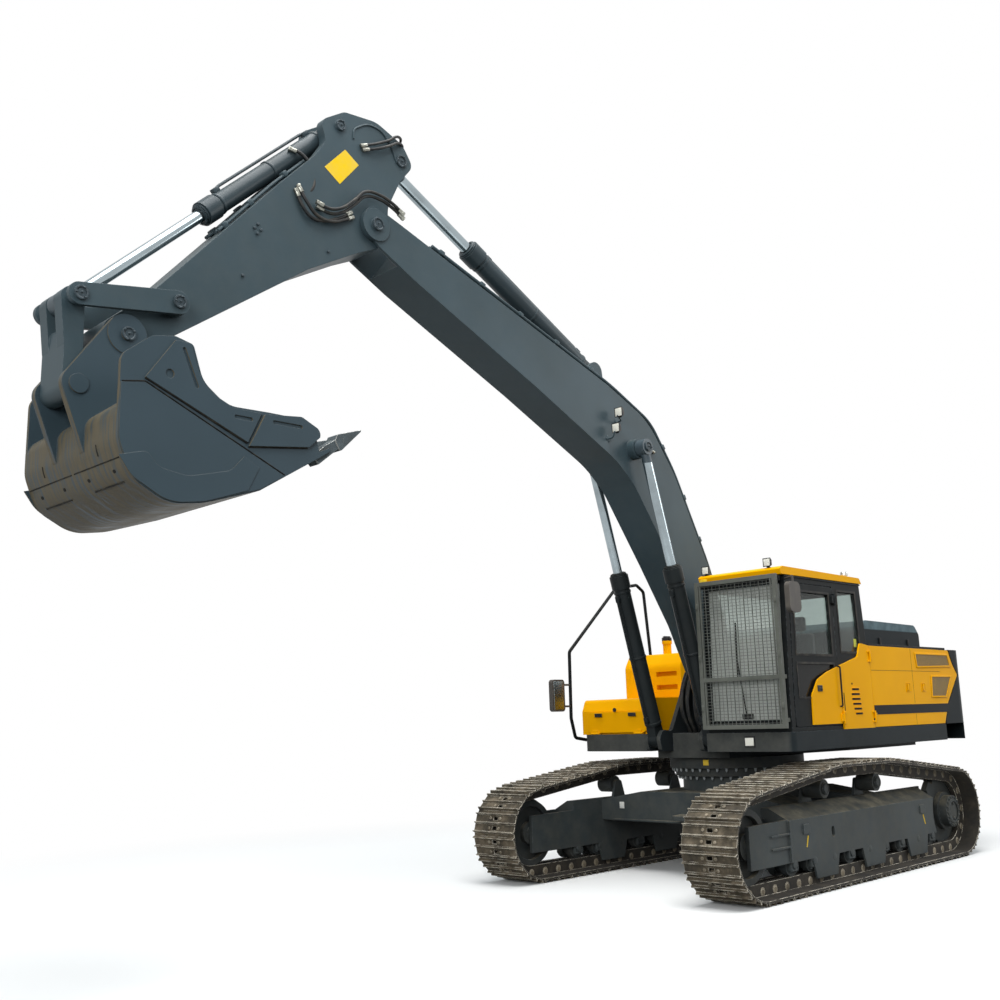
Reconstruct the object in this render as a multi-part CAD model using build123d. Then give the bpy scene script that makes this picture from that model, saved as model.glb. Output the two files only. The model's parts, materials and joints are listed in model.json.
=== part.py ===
from build123d import *
from math import acos, atan2, cos, degrees, hypot, pi, radians, sin, tan
import os

# Crawler excavator of the 38-tonne class, in millimetres.
# +X is forward, +Y is the machine's left, +Z is up, and the tracks stand on z = 0.
# Every piece is modelled about the slew axis (x = 0) and is moved by AXIS_X when it is written,
# so that the stored machine is centred on the frame's origin along its length.
AXIS_X = -2311.0

# ---- Tracks ----
GAUGE = 2740.0              # between the middles of the two tracks
SHOE_WIDTH = 600.0
SHOE_COUNT = 52
PITCH = 216.0               # from one chain pin to the next
SPROCKET_TEETH = 12
SHOE_SEAT = 55.0            # from the chain pins out to the foot of a shoe
SHOE_PLATE = 12.0
GROUSER = 24.0
GROUSER_ROOT = 20.0
GROUSER_TIP = 9.0
SHOE_GAP = 5.0
WINDOW_LONG = 38.0          # openings in a shoe, along the chain and across it
WINDOW_WIDE = 62.0
RAIL_DEPTH = 75.0           # from the chain pins in to the face that the wheels run on
RAIL_INNER = 45.0           # half the gap between the two rails of a chain
RAIL_OUTER = 100.0
TRACK_TOP = 1200.0          # over the carrier rollers
CARRIER_RADIUS = 95.0
CARRIER_PLACES = (670.0, -460.0)
ROLLER_RADIUS = 110.0
ROLLER_PLACES = (1420.0, 1040.0, 660.0, 280.0, -100.0, -480.0, -860.0, -1240.0, -1620.0)
RUN_GAP = 0.3               # between a wheel and the rail it carries

# ---- Track frames, one on each side ----
FRAME_INNER = 1220.0
FRAME_OUTER = 1520.0
FRAME_WALL = 30.0
FRAME_LOW = 300.0
FRAME_SHOULDER = 690.0
FRAME_TOP = 800.0
FRAME_REAR = -1950.0
FRAME_FRONT = 1500.0
YOKE_FRONT = 2190.0
GUARD_LOW = 105.0
ADJUSTER_Z = 520.0          # the hole that the grease nipple of the track adjuster is reached by

# ---- Carbody and slew ring ----
CARBODY_LOW = 560.0
CARBODY_TOP = 880.0
CARBODY_REACH = 1000.0      # half its length along the tracks
CARBODY_WAIST = 520.0       # half the opening between its legs
TOW_BORE = 80.0
TOW_REACH = 190.0
TOW_LOW = 600.0
TOW_PLATE = 50.0
TURRET_RADIUS = 620.0
TURRET_TOP = 1040.0
RING_INNER = 500.0
RING_LOWER_RADIUS = 700.0
RING_UPPER_RADIUS = 760.0
RING_SPLIT = 1130.0
RING_GAP = 0.4
RING_TOP = 1250.0

# ---- Revolving frame ----
HALF_WIDTH = 1490.0
DECK_LOW = 1330.0
DECK_TOP = 1520.0
DECK_FRONT_CAB = 1250.0
DECK_FRONT_TOOLBOX = 1050.0
TOOLBOX_FRONT = 960.0
DECK_REAR = -2950.0
CENTRE_HALF = 476.0
CENTRE_FRONT = 850.0
BRACKET_INNER = 256.0
BRACKET_OUTER = 306.0
LUG_INNER = 432.0
LUG_OUTER = 458.0

# ---- Boom, arm and bucket: pins and poses ----
BOOM_FOOT = (300.0, 2110.0)
BOOM_ANGLE = 37.5
BOOM_LENGTH = 6500.0
BOOM_HALF = 220.0
BOOM_PIN = (2770.0, 950.0)          # boom cylinder pin, along and above the boom's chord
ARM_CYLINDER_FOOT = (3620.0, 1340.0)
ARM_ANGLE = -34.1
ARM_LENGTH = 2780.0
ARM_HALF = 180.0
ARM_CYLINDER_PIN = (-700.0, 430.0)  # along and above the arm's chord
BUCKET_CYLINDER_FOOT = (-170.0, 900.0)
ROCKER_PIVOT = (2290.0, 60.0)
LINK_PIN = (2979.0, 379.0)
BUCKET_LINK_PIN = (340.0, -430.0)   # from the bucket pin, level with the ground
BOOM_CYLINDER_FOOT = (1000.0, 1460.0)
BOOM_CYLINDER_Y = 369.0
PIN_RADIUS = 50.0
BIG_PIN_RADIUS = 60.0
PIN_GAP = 0.3
SIDE_GAP = 6.0

# ---- Cylinders ----
EYE_HALF = 55.0
BOOM_BARREL = 1890.0
BOOM_BARREL_RADIUS = 90.0
BOOM_ROD_RADIUS = 52.0
BOOM_ROD = 1830.0
ARM_BARREL = 1980.0
ARM_BARREL_RADIUS = 98.0
ARM_ROD_RADIUS = 58.0
ARM_ROD = 2080.0
BUCKET_BARREL = 1690.0
BUCKET_BARREL_RADIUS = 84.0
BUCKET_ROD_RADIUS = 50.0
BUCKET_ROD = 1800.0
NECK = 165.0                # from a foot eye's pin to where the tube starts
GLAND_LENGTH = 150.0
GLAND_EXTRA = 16.0
ROD_GAP = 1.0

# ---- Bucket ----
BUCKET_HALF = 735.0
BUCKET_SIDE = 32.0
BUCKET_SHELL = 25.0
EAR_INNER = 186.0
EAR_OUTER = 246.0
ROCKER_INNER = 256.0
ROCKER_OUTER = 296.0
TOOTH_COUNT = 5
TOOTH_HALF = 55.0

# ---- Cab ----
CAB_RIGHT = 470.0
CAB_LEFT = 1472.0
CAB_FRONT = 1200.0
CAB_REAR = -520.0
CAB_FLOOR = 1520.3
CAB_TOP = 3110.0
ROOF_TOP = 3195.0
PILLAR = 60.0
B_PILLAR = 170.0
DOOR_GAP = 6.0
GUARD_COLUMN = 99.6         # between every second wire of the guard's mesh, across and up
GUARD_ROW = 65.0
SEAT_GAP = 0.3              # between pieces that rest on or against each other

# ---- Rear bodywork ----
HOOD_LEVEL = 2430.0
PANEL_THICK = 30.0
SIDE_DOOR_FRONT = -530.0
SIDE_DOOR_REAR = -2330.0
WEIGHT_REAR = -3600.0
FUEL_REAR = -620.0
HOOD_REAR = -2590.0
HOOD_FRONT = -1110.0
HOOD_HALF = 1150.0
HOOD_TOP = 2760.0
TANK_REAR = -1040.0
STEP_PLACES = (2030.0, 2190.0)          # steps let into the front of the fuel tank


def unit(a, b):
    size = hypot(a, b)
    return a / size, b / size


def place(a, b, along):
    """A point of a flat outline, in the plane that lies square to the named axis."""
    return {"x": Vector(0, a, b), "y": Vector(a, 0, b), "z": Vector(a, b, 0)}[along]


def outline(corners, along="y"):
    """A flat face whose corners are (a, b) or (a, b, radius of the rounding)."""
    corners = [(c + (0.0,))[:3] for c in corners]
    count = len(corners)
    bends = []
    for i in range(count):
        before, (a, b, radius), after = corners[i - 1], corners[i], corners[(i + 1) % count]
        if radius <= 0:
            bends.append(((a, b), None, (a, b)))
            continue
        ua, ub = unit(before[0] - a, before[1] - b)
        va, vb = unit(after[0] - a, after[1] - b)
        half = acos(max(-1.0, min(1.0, ua * va + ub * vb))) / 2
        reach = radius / tan(half)
        ma, mb = unit(ua + va, ub + vb)
        depth = radius / sin(half) - radius
        bends.append(((a + ua * reach, b + ub * reach),
                      (a + ma * depth, b + mb * depth),
                      (a + va * reach, b + vb * reach)))
    edges = []
    for i in range(count):
        start, middle, end = bends[i]
        if middle:
            edges.append(Edge.make_three_point_arc(place(*start, along), place(*middle, along),
                                                   place(*end, along)))
        ahead = bends[(i + 1) % count][0]
        if hypot(ahead[0] - end[0], ahead[1] - end[1]) > 0.001:
            edges.append(Edge.make_line(place(*end, along), place(*ahead, along)))
    return Face(Wire(edges))


def sweep_face(face, low, high, along):
    step = {"x": Vector(1, 0, 0), "y": Vector(0, 1, 0), "z": Vector(0, 0, 1)}[along]
    return Solid.extrude(face.moved(Location(step * low)), step * (high - low))


def prism(corners, low, high, along="y"):
    """A straight-sided piece between two planes square to an axis."""
    return sweep_face(outline(corners, along), low, high, along)


def box(x, y, z):
    """A block from three (low, high) pairs."""
    return Solid.make_box(x[1] - x[0], y[1] - y[0], z[1] - z[0]).moved(Location((x[0], y[0], z[0])))


def belt_runs(circles, grow=0.0):
    """Straight runs of the loop round circles (x, z, radius), taken counter-clockwise:
    for each, its start, its end and the angle that its outside faces."""
    runs = []
    for i, (x0, z0, r0) in enumerate(circles):
        x1, z1, r1 = circles[(i + 1) % len(circles)]
        distance = hypot(x1 - x0, z1 - z0)
        facing = atan2(z1 - z0, x1 - x0) - acos((r0 - r1) / distance)
        c, s = cos(facing), sin(facing)
        runs.append(((x0 + (r0 + grow) * c, z0 + (r0 + grow) * s),
                     (x1 + (r1 + grow) * c, z1 + (r1 + grow) * s), facing))
    return runs


def belt(circles, low, high, grow=0.0):
    """A plate with the outline of a belt round circles (x, z, radius)."""
    runs = belt_runs(circles, grow)
    edges = []
    for i, (start, end, facing) in enumerate(runs):
        x, z, radius = circles[(i + 1) % len(circles)]
        following = runs[(i + 1) % len(runs)]
        turn = (following[2] - facing) % (2 * pi)
        middle = facing + turn / 2
        edges.append(Edge.make_line(place(*start, "y"), place(*end, "y")))
        edges.append(Edge.make_three_point_arc(
            place(*end, "y"),
            place(x + (radius + grow) * cos(middle), z + (radius + grow) * sin(middle), "y"),
            place(*following[0], "y")))
    return sweep_face(Face(Wire(edges)), low, high, "y")


def drum(x, z, radius, low, high):
    """A cylinder that lies across the machine."""
    return Solid.make_cylinder(radius, high - low, Plane(origin=(x, low, z), z_dir=(0, 1, 0)))


def shaft(start, end, radius, y=0.0):
    """A cylinder along local x."""
    return Solid.make_cylinder(radius, end - start, Plane(origin=(start, y, 0), z_dir=(1, 0, 0)))


def bar(start, end, radius):
    """A round bar between two points."""
    start, end = Vector(*start), Vector(*end)
    way = end - start
    return Solid.make_cylinder(radius, way.length, Plane(origin=start, z_dir=way.normalized()))


def joined(*pieces):
    result = pieces[0]
    for piece in pieces[1:]:
        result = result.fuse(piece)
    return result.clean()


def hinge(x, y, z, along, half, fixed_to, moving_to, thick=16.0):
    """A hinge about an axis through a point: the fixed half with its pin, and the moving knuckle.
    Each half has a leaf that reaches to the offset given, square to the axis."""
    way = {"x": Vector(1, 0, 0), "y": Vector(0, 1, 0), "z": Vector(0, 0, 1)}[along]

    def part_of(low, high, radius):
        return Solid.make_cylinder(radius, high - low, Plane(origin=Vector(x, y, z) + way * low, z_dir=way))

    def leaf(low, high, reach):
        a, b = reach
        spans = {"x": ((low, high), sorted((0, a)), sorted((0, b))),
                 "y": (sorted((0, a)), (low, high), sorted((0, b))),
                 "z": (sorted((0, a)), sorted((0, b)), (low, high))}[along]
        corner = [[base + v for v in span] for base, span in zip((x, y, z), spans)]
        for span in corner:
            if span[1] - span[0] < thick:
                middle = (span[0] + span[1]) / 2
                span[0], span[1] = middle - thick / 2, middle + thick / 2
        return box(*corner)

    knuckle = part_of(-half, half, thick).fuse(leaf(-half, half, moving_to))
    knuckle = knuckle.cut(part_of(-half - 1, half + 1, thick * 0.5 + PIN_GAP))
    fixed = part_of(-half * 1.6, half * 1.6, thick * 0.5)
    for low, high in ((-half * 1.6, -half - 1), (half + 1, half * 1.6)):
        fixed = fixed.fuse(part_of(low, high, thick)).fuse(leaf(low, high, fixed_to))
    return fixed, knuckle


def both(piece):
    """A piece and its mirror image across the machine's middle."""
    return [piece, piece.mirror(Plane.XZ)]


def turned(piece, point, angle):
    """Set a piece that is drawn along local x at a point, at an angle above the horizontal."""
    return piece.moved(Location((point[0], 0, point[1]), (0, -angle, 0)))


def carried(point, origin, angle):
    """Where a point of a turned piece lies on the machine."""
    c, s = cos(radians(angle)), sin(radians(angle))
    return origin[0] + point[0] * c - point[1] * s, origin[1] + point[0] * s + point[1] * c


def save(name, *pieces):
    solids = []
    for piece in pieces:
        solids.extend(piece.solids())
    whole = solids[0] if len(solids) == 1 else Compound(solids)
    export_step(whole.moved(Location((AXIS_X, 0, 0))), "parts/" + name + ".step")


# ---- Track geometry ----
PIN_CIRCLE = PITCH / (2 * sin(pi / SPROCKET_TEETH))
SHOE_DEPTH = SHOE_SEAT + SHOE_PLATE + GROUSER
WHEEL_Z = PIN_CIRCLE + SHOE_DEPTH
CARRIER_Z = TRACK_TOP - SHOE_DEPTH - RAIL_DEPTH - CARRIER_RADIUS
ROLLER_Z = SHOE_DEPTH + RAIL_DEPTH + RUN_GAP + ROLLER_RADIUS
WHEEL_RADIUS = PIN_CIRCLE - RAIL_DEPTH - RUN_GAP
TRACK_Y = GAUGE / 2


def pin_circles(reach):
    """The four circles that the line of chain pins wraps, front first."""
    top = CARRIER_RADIUS + RAIL_DEPTH
    front, rear = CARRIER_PLACES
    return [(reach, WHEEL_Z, PIN_CIRCLE), (front, CARRIER_Z, top),
            (rear, CARRIER_Z, top), (-reach, WHEEL_Z, PIN_CIRCLE)]


def chain_line(reach):
    """A function from distance along the pin line to a point, and the line's whole length.
    It starts at the rearmost point of the sprocket and runs under the machine."""
    circles = pin_circles(reach)
    runs = belt_runs(circles)
    parts = []
    order = [3, 0, 1, 2]
    for step, i in enumerate(order):
        x, z, radius = circles[i]
        begin = runs[i - 1][2] if step else pi
        turn = (runs[i][2] - begin) % (2 * pi)
        parts.append(("arc", x, z, radius, begin, turn * radius))
        start, end, _ = runs[i]
        parts.append(("line", start, end, hypot(end[0] - start[0], end[1] - start[1])))
    x, z, radius = circles[3]
    begin = runs[2][2]
    parts.append(("arc", x, z, radius, begin, ((pi - begin) % (2 * pi)) * radius))
    total = sum(part[-1] for part in parts)

    def point(distance):
        distance %= total
        for part in parts:
            if distance <= part[-1]:
                break
            distance -= part[-1]
        if part[0] == "arc":
            _, cx, cz, r, first, _ = part
            return cx + r * cos(first + distance / r), cz + r * sin(first + distance / r)
        _, (x0, z0), (x1, z1), length = part
        share = distance / length
        return x0 + (x1 - x0) * share, z0 + (z1 - z0) * share

    return point, total


def walk(reach):
    """Distances along the pin line of SHOE_COUNT + 1 pins, each one PITCH from the last."""
    point, total = chain_line(reach)
    places = [0.0]
    for _ in range(SHOE_COUNT):
        x0, z0 = point(places[-1])
        low, high = places[-1] + PITCH * 0.98, places[-1] + PITCH * 1.1
        for _ in range(40):
            middle = (low + high) / 2
            x1, z1 = point(middle)
            if hypot(x1 - x0, z1 - z0) < PITCH:
                low = middle
            else:
                high = middle
        places.append(low)
    return places, total


def fitted_reach():
    """Half the distance between idler and sprocket at which the chain closes."""
    low, high = 1500.0, 3200.0
    for _ in range(40):
        middle = (low + high) / 2
        places, total = walk(middle)
        if places[-1] > total:
            low = middle
        else:
            high = middle
    return (low + high) / 2


REACH = fitted_reach()


def shoe_windows(point, places):
    """Two openings in each shoe, between its grousers and its bolts, that let dirt fall out."""
    windows = []
    for k in range(SHOE_COUNT):
        (x0, z0), (x1, z1) = point(places[k]), point(places[(k + 1) % SHOE_COUNT])
        lean = degrees(atan2(z1 - z0, x1 - x0))
        for share in (-1, 1):
            along = share * (PITCH - SHOE_GAP) / 4
            window = Solid.make_box(WINDOW_LONG, WINDOW_WIDE, 2 * SHOE_DEPTH).moved(
                Location((along - WINDOW_LONG / 2, -WINDOW_WIDE / 2, -2 * SHOE_DEPTH)))
            windows.append(window.moved(Location(((x0 + x1) / 2, 0, (z0 + z1) / 2), (0, -lean, 0))))
    return Compound(children=windows)


def track_loop():
    """The chain's two rails and its shoes, each with three grousers, in one loop."""
    point, _ = chain_line(REACH)
    places, _ = walk(REACH)
    half = (PITCH - SHOE_GAP) / 2
    low, high = SHOE_SEAT + SHOE_PLATE, SHOE_DEPTH
    profile = [(-half, SHOE_SEAT)]
    for share in (-1, 0, 1):
        middle = share * (half - GROUSER_ROOT / 2)
        profile += [(middle - GROUSER_ROOT / 2, low), (middle - GROUSER_TIP / 2, high),
                    (middle + GROUSER_TIP / 2, high), (middle + GROUSER_ROOT / 2, low)]
    profile.append((half, SHOE_SEAT))
    corners = []
    for k in range(SHOE_COUNT):
        (x0, z0), (x1, z1) = point(places[k]), point(places[k + 1])
        if k == SHOE_COUNT - 1:
            x1, z1 = point(0.0)
        tx, tz = unit(x1 - x0, z1 - z0)
        mx, mz = (x0 + x1) / 2, (z0 + z1) / 2
        corners += [(mx + tx * a + tz * b, mz + tz * a - tx * b) for a, b in profile]
    circles = pin_circles(REACH)
    seat = SHOE_SEAT - 15
    shoes = prism(corners, -SHOE_WIDTH / 2, SHOE_WIDTH / 2)
    shoes = shoes.cut(belt(circles, -SHOE_WIDTH, SHOE_WIDTH, seat))
    shoes = shoes.cut(shoe_windows(point, places))
    rails = []
    for low_y, high_y in ((RAIL_INNER, RAIL_OUTER), (-RAIL_OUTER, -RAIL_INNER)):
        ring = belt(circles, low_y, high_y, seat + 2).cut(belt(circles, low_y - 1, high_y + 1, -RAIL_DEPTH))
        rails.append(ring)
    return joined(shoes, *rails)


def idler():
    """Front wheel: two treads under the rails, a guide rib between them, and its axle."""
    rim = drum(0, 0, WHEEL_RADIUS, -RAIL_OUTER, RAIL_OUTER)
    rib = drum(0, 0, WHEEL_RADIUS + 26, -RAIL_INNER + 6, RAIL_INNER - 6)
    wheel = rim.fuse(rib)
    for low, high in ((RAIL_INNER, RAIL_OUTER + 1), (-RAIL_OUTER - 1, -RAIL_INNER)):
        wheel = wheel.cut(drum(0, 0, WHEEL_RADIUS - 60, low, high))
    axle = drum(0, 0, 70, FRAME_INNER + 42.3 - TRACK_Y, FRAME_OUTER - 42.3 - TRACK_Y)
    hub = drum(0, 0, 120, -RAIL_OUTER, RAIL_OUTER)
    return joined(wheel, hub, axle).moved(Location((REACH, TRACK_Y, WHEEL_Z)))


def sprocket():
    """Toothed drive wheel whose gullets take the chain's bushes."""
    wheel = drum(0, 0, PIN_CIRCLE + 12, -34, 34)
    for k in range(SPROCKET_TEETH):
        angle = pi + k * 2 * pi / SPROCKET_TEETH
        wheel = wheel.cut(drum(PIN_CIRCLE * cos(angle), PIN_CIRCLE * sin(angle), 44, -35, 35))
    return wheel.moved(Location((-REACH, TRACK_Y, WHEEL_Z)))


def final_drive():
    """Round gear case on the outside of the sprocket and the motor flange inside it."""
    case = joined(drum(0, 0, 215, 34, 90), drum(0, 0, 180, 90, 178))
    flange = drum(0, 0, 200, FRAME_INNER + FRAME_WALL - TRACK_Y, -34)
    return [p.moved(Location((-REACH, TRACK_Y, WHEEL_Z))) for p in (case, flange)]


def track_roller(x):
    shell = drum(0, 0, ROLLER_RADIUS, -104, 104).cut(
        drum(0, 0, ROLLER_RADIUS + 1, -RAIL_INNER + 8, RAIL_INNER - 8).cut(
            drum(0, 0, ROLLER_RADIUS - 25, -RAIL_INNER, RAIL_INNER)))
    axle = drum(0, 0, 38, FRAME_INNER + FRAME_WALL + RUN_GAP - TRACK_Y,
                FRAME_OUTER - FRAME_WALL - RUN_GAP - TRACK_Y)
    return joined(shell, axle).moved(Location((x, TRACK_Y, ROLLER_Z)))


def carrier_roller(x):
    wheel = joined(drum(0, 0, CARRIER_RADIUS - RUN_GAP, -RAIL_OUTER, RAIL_OUTER),
                   drum(0, 0, 45, FRAME_INNER + FRAME_WALL + RUN_GAP - TRACK_Y, -RAIL_OUTER))
    return wheel.moved(Location((x, TRACK_Y, CARRIER_Z)))


def track_frame():
    """Box beam open below for the rollers, the idler's yoke, the drive's bracket and the guards."""
    section = [(FRAME_INNER, FRAME_LOW), (FRAME_OUTER, FRAME_LOW), (FRAME_OUTER, FRAME_SHOULDER),
               (FRAME_INNER + 90, FRAME_TOP), (FRAME_INNER, FRAME_TOP)]
    beam = prism(section, FRAME_REAR, FRAME_FRONT, "x")
    channel = box((FRAME_REAR - 1, FRAME_FRONT + 1),
                  (FRAME_INNER + FRAME_WALL, FRAME_OUTER - FRAME_WALL),
                  (FRAME_LOW - 1, ROLLER_Z + ROLLER_RADIUS + 25))
    beam = beam.cut(channel)
    wheel_room = drum(-REACH, WHEEL_Z, PIN_CIRCLE + 60, FRAME_INNER + FRAME_WALL, FRAME_OUTER + 1)
    beam = beam.cut(wheel_room)
    arms = []
    for low, high in ((FRAME_INNER, FRAME_INNER + 42), (FRAME_OUTER - 42, FRAME_OUTER)):
        arms.append(prism([(FRAME_FRONT - 1, FRAME_LOW), (YOKE_FRONT, FRAME_LOW),
                           (YOKE_FRONT, FRAME_SHOULDER), (FRAME_FRONT - 1, FRAME_SHOULDER + 10)], low, high))
    block = box((FRAME_FRONT - 1, REACH - WHEEL_RADIUS - 60), (FRAME_INNER + 40, FRAME_OUTER - 40),
                (WHEEL_Z - 140, WHEEL_Z + 140))
    drive_plate = belt([(-REACH, WHEEL_Z, 225), (FRAME_REAR + 200, WHEEL_Z + 60, 200)],
                       FRAME_INNER, FRAME_INNER + FRAME_WALL)
    brackets = []
    for x in CARRIER_PLACES:
        brackets.append(prism([(x - 110, FRAME_TOP - 2), (x + 110, FRAME_TOP - 2),
                               (x + 50, CARRIER_Z + 45, 30), (x - 50, CARRIER_Z + 45, 30)],
                              FRAME_INNER, FRAME_INNER + FRAME_WALL))
    flange = prism([(FRAME_FRONT - 12, FRAME_LOW + 12), (FRAME_FRONT + 12, FRAME_LOW + 12),
                    (FRAME_FRONT + 12, FRAME_SHOULDER), (FRAME_FRONT - 12, FRAME_SHOULDER)],
                   FRAME_OUTER - 1, FRAME_OUTER + 22)
    ribs = [box((FRAME_FRONT + 10, FRAME_FRONT + 330), (FRAME_OUTER - 1, FRAME_OUTER + 18), (z - 9, z + 9))
            for z in (FRAME_LOW + 150, FRAME_LOW + 270)]
    pads = [prism([(x - 62, 545), (x + 62, 545), (x + 62, 635, 14), (x - 62, 635, 14)],
                  FRAME_OUTER - 1, FRAME_OUTER + 16) for x in (-1390.0, 1180.0)]
    beam = beam.cut(belt([(650, ADJUSTER_Z - 22, 32), (650, ADJUSTER_Z + 22, 32)],
                         FRAME_OUTER - FRAME_WALL - 60, FRAME_OUTER + 1))
    guards = []
    for x in (820.0, -200.0, -1230.0):
        for low, high in ((FRAME_INNER, FRAME_INNER + 22), (FRAME_OUTER - 22, FRAME_OUTER)):
            guards.append(prism([(x - 260, FRAME_LOW + 1), (x - 200, GUARD_LOW), (x + 200, GUARD_LOW),
                                 (x + 260, FRAME_LOW + 1)], low, high))
    return joined(beam, *arms, block, drive_plate, *brackets, *guards, flange, *ribs, *pads)


def carbody():
    """X-shaped centre body with four legs to the track frames and the turret for the slew ring."""
    legs = [(CARBODY_REACH, FRAME_INNER), (CARBODY_REACH - 60, 600), (CARBODY_REACH - 60, -600),
            (CARBODY_REACH, -FRAME_INNER), (CARBODY_WAIST, -FRAME_INNER), (CARBODY_WAIST - 260, -760, 80),
            (-CARBODY_WAIST + 260, -760, 80), (-CARBODY_WAIST, -FRAME_INNER), (-CARBODY_REACH, -FRAME_INNER),
            (-CARBODY_REACH + 60, -600), (-CARBODY_REACH + 60, 600), (-CARBODY_REACH, FRAME_INNER),
            (-CARBODY_WAIST, FRAME_INNER), (-CARBODY_WAIST + 260, 760, 80),
            (CARBODY_WAIST - 260, 760, 80), (CARBODY_WAIST, FRAME_INNER)]
    body = prism(legs, CARBODY_LOW, CARBODY_TOP, "z")
    for x in (CARBODY_REACH, -CARBODY_REACH):
        for y in (FRAME_INNER, -FRAME_INNER):
            slope = prism([(y * 0.55, CARBODY_TOP + 1), (y * 1.01, CARBODY_TOP + 1), (y * 1.01, 780)],
                          -CARBODY_REACH - 10, CARBODY_REACH + 10, "x")
            body = body.cut(slope)
    turret = Solid.make_cylinder(TURRET_RADIUS, TURRET_TOP - CARBODY_TOP + 2,
                                 Plane(origin=(0, 0, CARBODY_TOP - 2)))
    eye_plates = []
    for side in (1, -1):
        x = side * CARBODY_REACH
        plate = prism([(x - side * 80, -150), (x + side * TOW_REACH, -110, 90), (x + side * TOW_REACH, 110, 90),
                       (x - side * 80, 150)], TOW_LOW, TOW_LOW + TOW_PLATE, "z")
        hole = Solid.make_cylinder(TOW_BORE / 2, TOW_PLATE + 2,
                                   Plane(origin=(x + side * (TOW_REACH - 95), 0, TOW_LOW - 1)))
        eye_plates.append(plate.cut(hole))
    return joined(body, turret, *eye_plates)


def ring(radius, hole, low, high):
    whole = Solid.make_cylinder(radius, high - low, Plane(origin=(0, 0, low)))
    return whole.cut(Solid.make_cylinder(hole, high - low + 2, Plane(origin=(0, 0, low - 1))))


def main_frame():
    """Revolving deck with the boom's brackets and the lugs of the boom cylinders."""
    edge = 90.0
    deck = prism([(DECK_FRONT_CAB, CENTRE_HALF), (DECK_FRONT_CAB, HALF_WIDTH, edge), (DECK_REAR + 600, HALF_WIDTH),
                  (DECK_REAR, 900), (DECK_REAR, -900), (DECK_REAR + 600, -HALF_WIDTH),
                  (DECK_FRONT_TOOLBOX, -HALF_WIDTH, 240), (DECK_FRONT_TOOLBOX, -CENTRE_HALF),
                  (CENTRE_FRONT, -CENTRE_HALF), (CENTRE_FRONT, CENTRE_HALF)], DECK_LOW, DECK_TOP, "z")
    centre = prism([(CENTRE_FRONT, -CENTRE_HALF), (CENTRE_FRONT, CENTRE_HALF), (-1200, 800),
                    (DECK_REAR, 800), (DECK_REAR, -800), (-1200, -800)], RING_TOP, DECK_LOW + 1, "z")
    foot_x, foot_z = BOOM_FOOT
    lug_x, lug_z = BOOM_CYLINDER_FOOT
    web = prism([(lug_x - 250, DECK_LOW), (lug_x + 60, DECK_LOW, 40), (lug_x + 100, lug_z + 20, 70),
                 (lug_x + 20, lug_z + 105, 70), (lug_x - 140, lug_z + 85, 60), (foot_x + 190, foot_z + 40, 120),
                 (foot_x + 60, foot_z + 165, 110), (foot_x - 150, foot_z + 90, 120),
                 (foot_x - 420, DECK_TOP + 220, 200), (-900, DECK_TOP + 120), (-900, DECK_TOP - 2),
                 (CENTRE_FRONT - 60, DECK_TOP - 2)], BRACKET_INNER, BRACKET_OUTER)
    lug = prism([(CENTRE_FRONT - 60, DECK_LOW), (lug_x + 60, DECK_LOW, 40), (lug_x + 100, lug_z + 20, 70),
                 (lug_x, lug_z + 100, 70), (CENTRE_FRONT - 60, DECK_TOP + 20)], LUG_INNER, LUG_OUTER)
    pieces = both(web) + both(lug)
    for y in (1, -1):
        low, high = sorted((y * (BRACKET_INNER + 10), y * (LUG_OUTER + 10)))
        pieces.append(drum(lug_x, lug_z, PIN_RADIUS, low, high))
    pieces.append(drum(foot_x, foot_z, BIG_PIN_RADIUS, -BRACKET_OUTER - 15, BRACKET_OUTER + 15))
    return joined(deck, centre, *pieces)


def counterweight():
    """Cast block across the tail, rounded in plan and waisted where it meets the side doors."""
    low, top = DECK_LOW - 5, HOOD_LEVEL - 10
    plan = [(SIDE_DOOR_REAR - 30, HALF_WIDTH - 5, 30), (-2990, HALF_WIDTH - 5, 330), (WEIGHT_REAR, 560, 900),
            (WEIGHT_REAR, -560, 900), (-2990, -HALF_WIDTH + 5, 330), (SIDE_DOOR_REAR - 30, -HALF_WIDTH + 5, 30)]
    block = prism(plan, low, top, "z")
    front = [(SIDE_DOOR_REAR, low - 1), (SIDE_DOOR_REAR, DECK_TOP + 6), (SIDE_DOOR_REAR - 20, DECK_TOP + 6),
             (-2510, 1780), (-2850, 2110), (-2730, 2240), (-2640, top + 1), (-2000, top + 1), (-2000, low - 1)]
    room = prism([(p[0] - 6 if p[0] < -2300 else p[0], p[1]) for p in front], -HALF_WIDTH - 10, HALF_WIDTH + 10)
    block = block.cut(room)
    deck_room = box((DECK_REAR - 5, 0), (-HALF_WIDTH - 1, HALF_WIDTH + 1), (low - 1, DECK_TOP + SEAT_GAP))
    block = block.cut(deck_room)
    rear_cut = prism([(WEIGHT_REAR - 1, top + 1), (WEIGHT_REAR - 1, 2150), (WEIGHT_REAR + 190, top + 1)],
                     -HALF_WIDTH, HALF_WIDTH)
    block = block.cut(rear_cut)
    for y in (-560, 560):       # pockets of the lifting eyes
        block = block.cut(box((-3260, -3090), (y - 60, y + 60), (top - 90, top + 1)))
        block = block.fuse(shaft(-3261, -3089, 22, y).moved(Location((0, 0, top - 45))))
    return block


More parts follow.
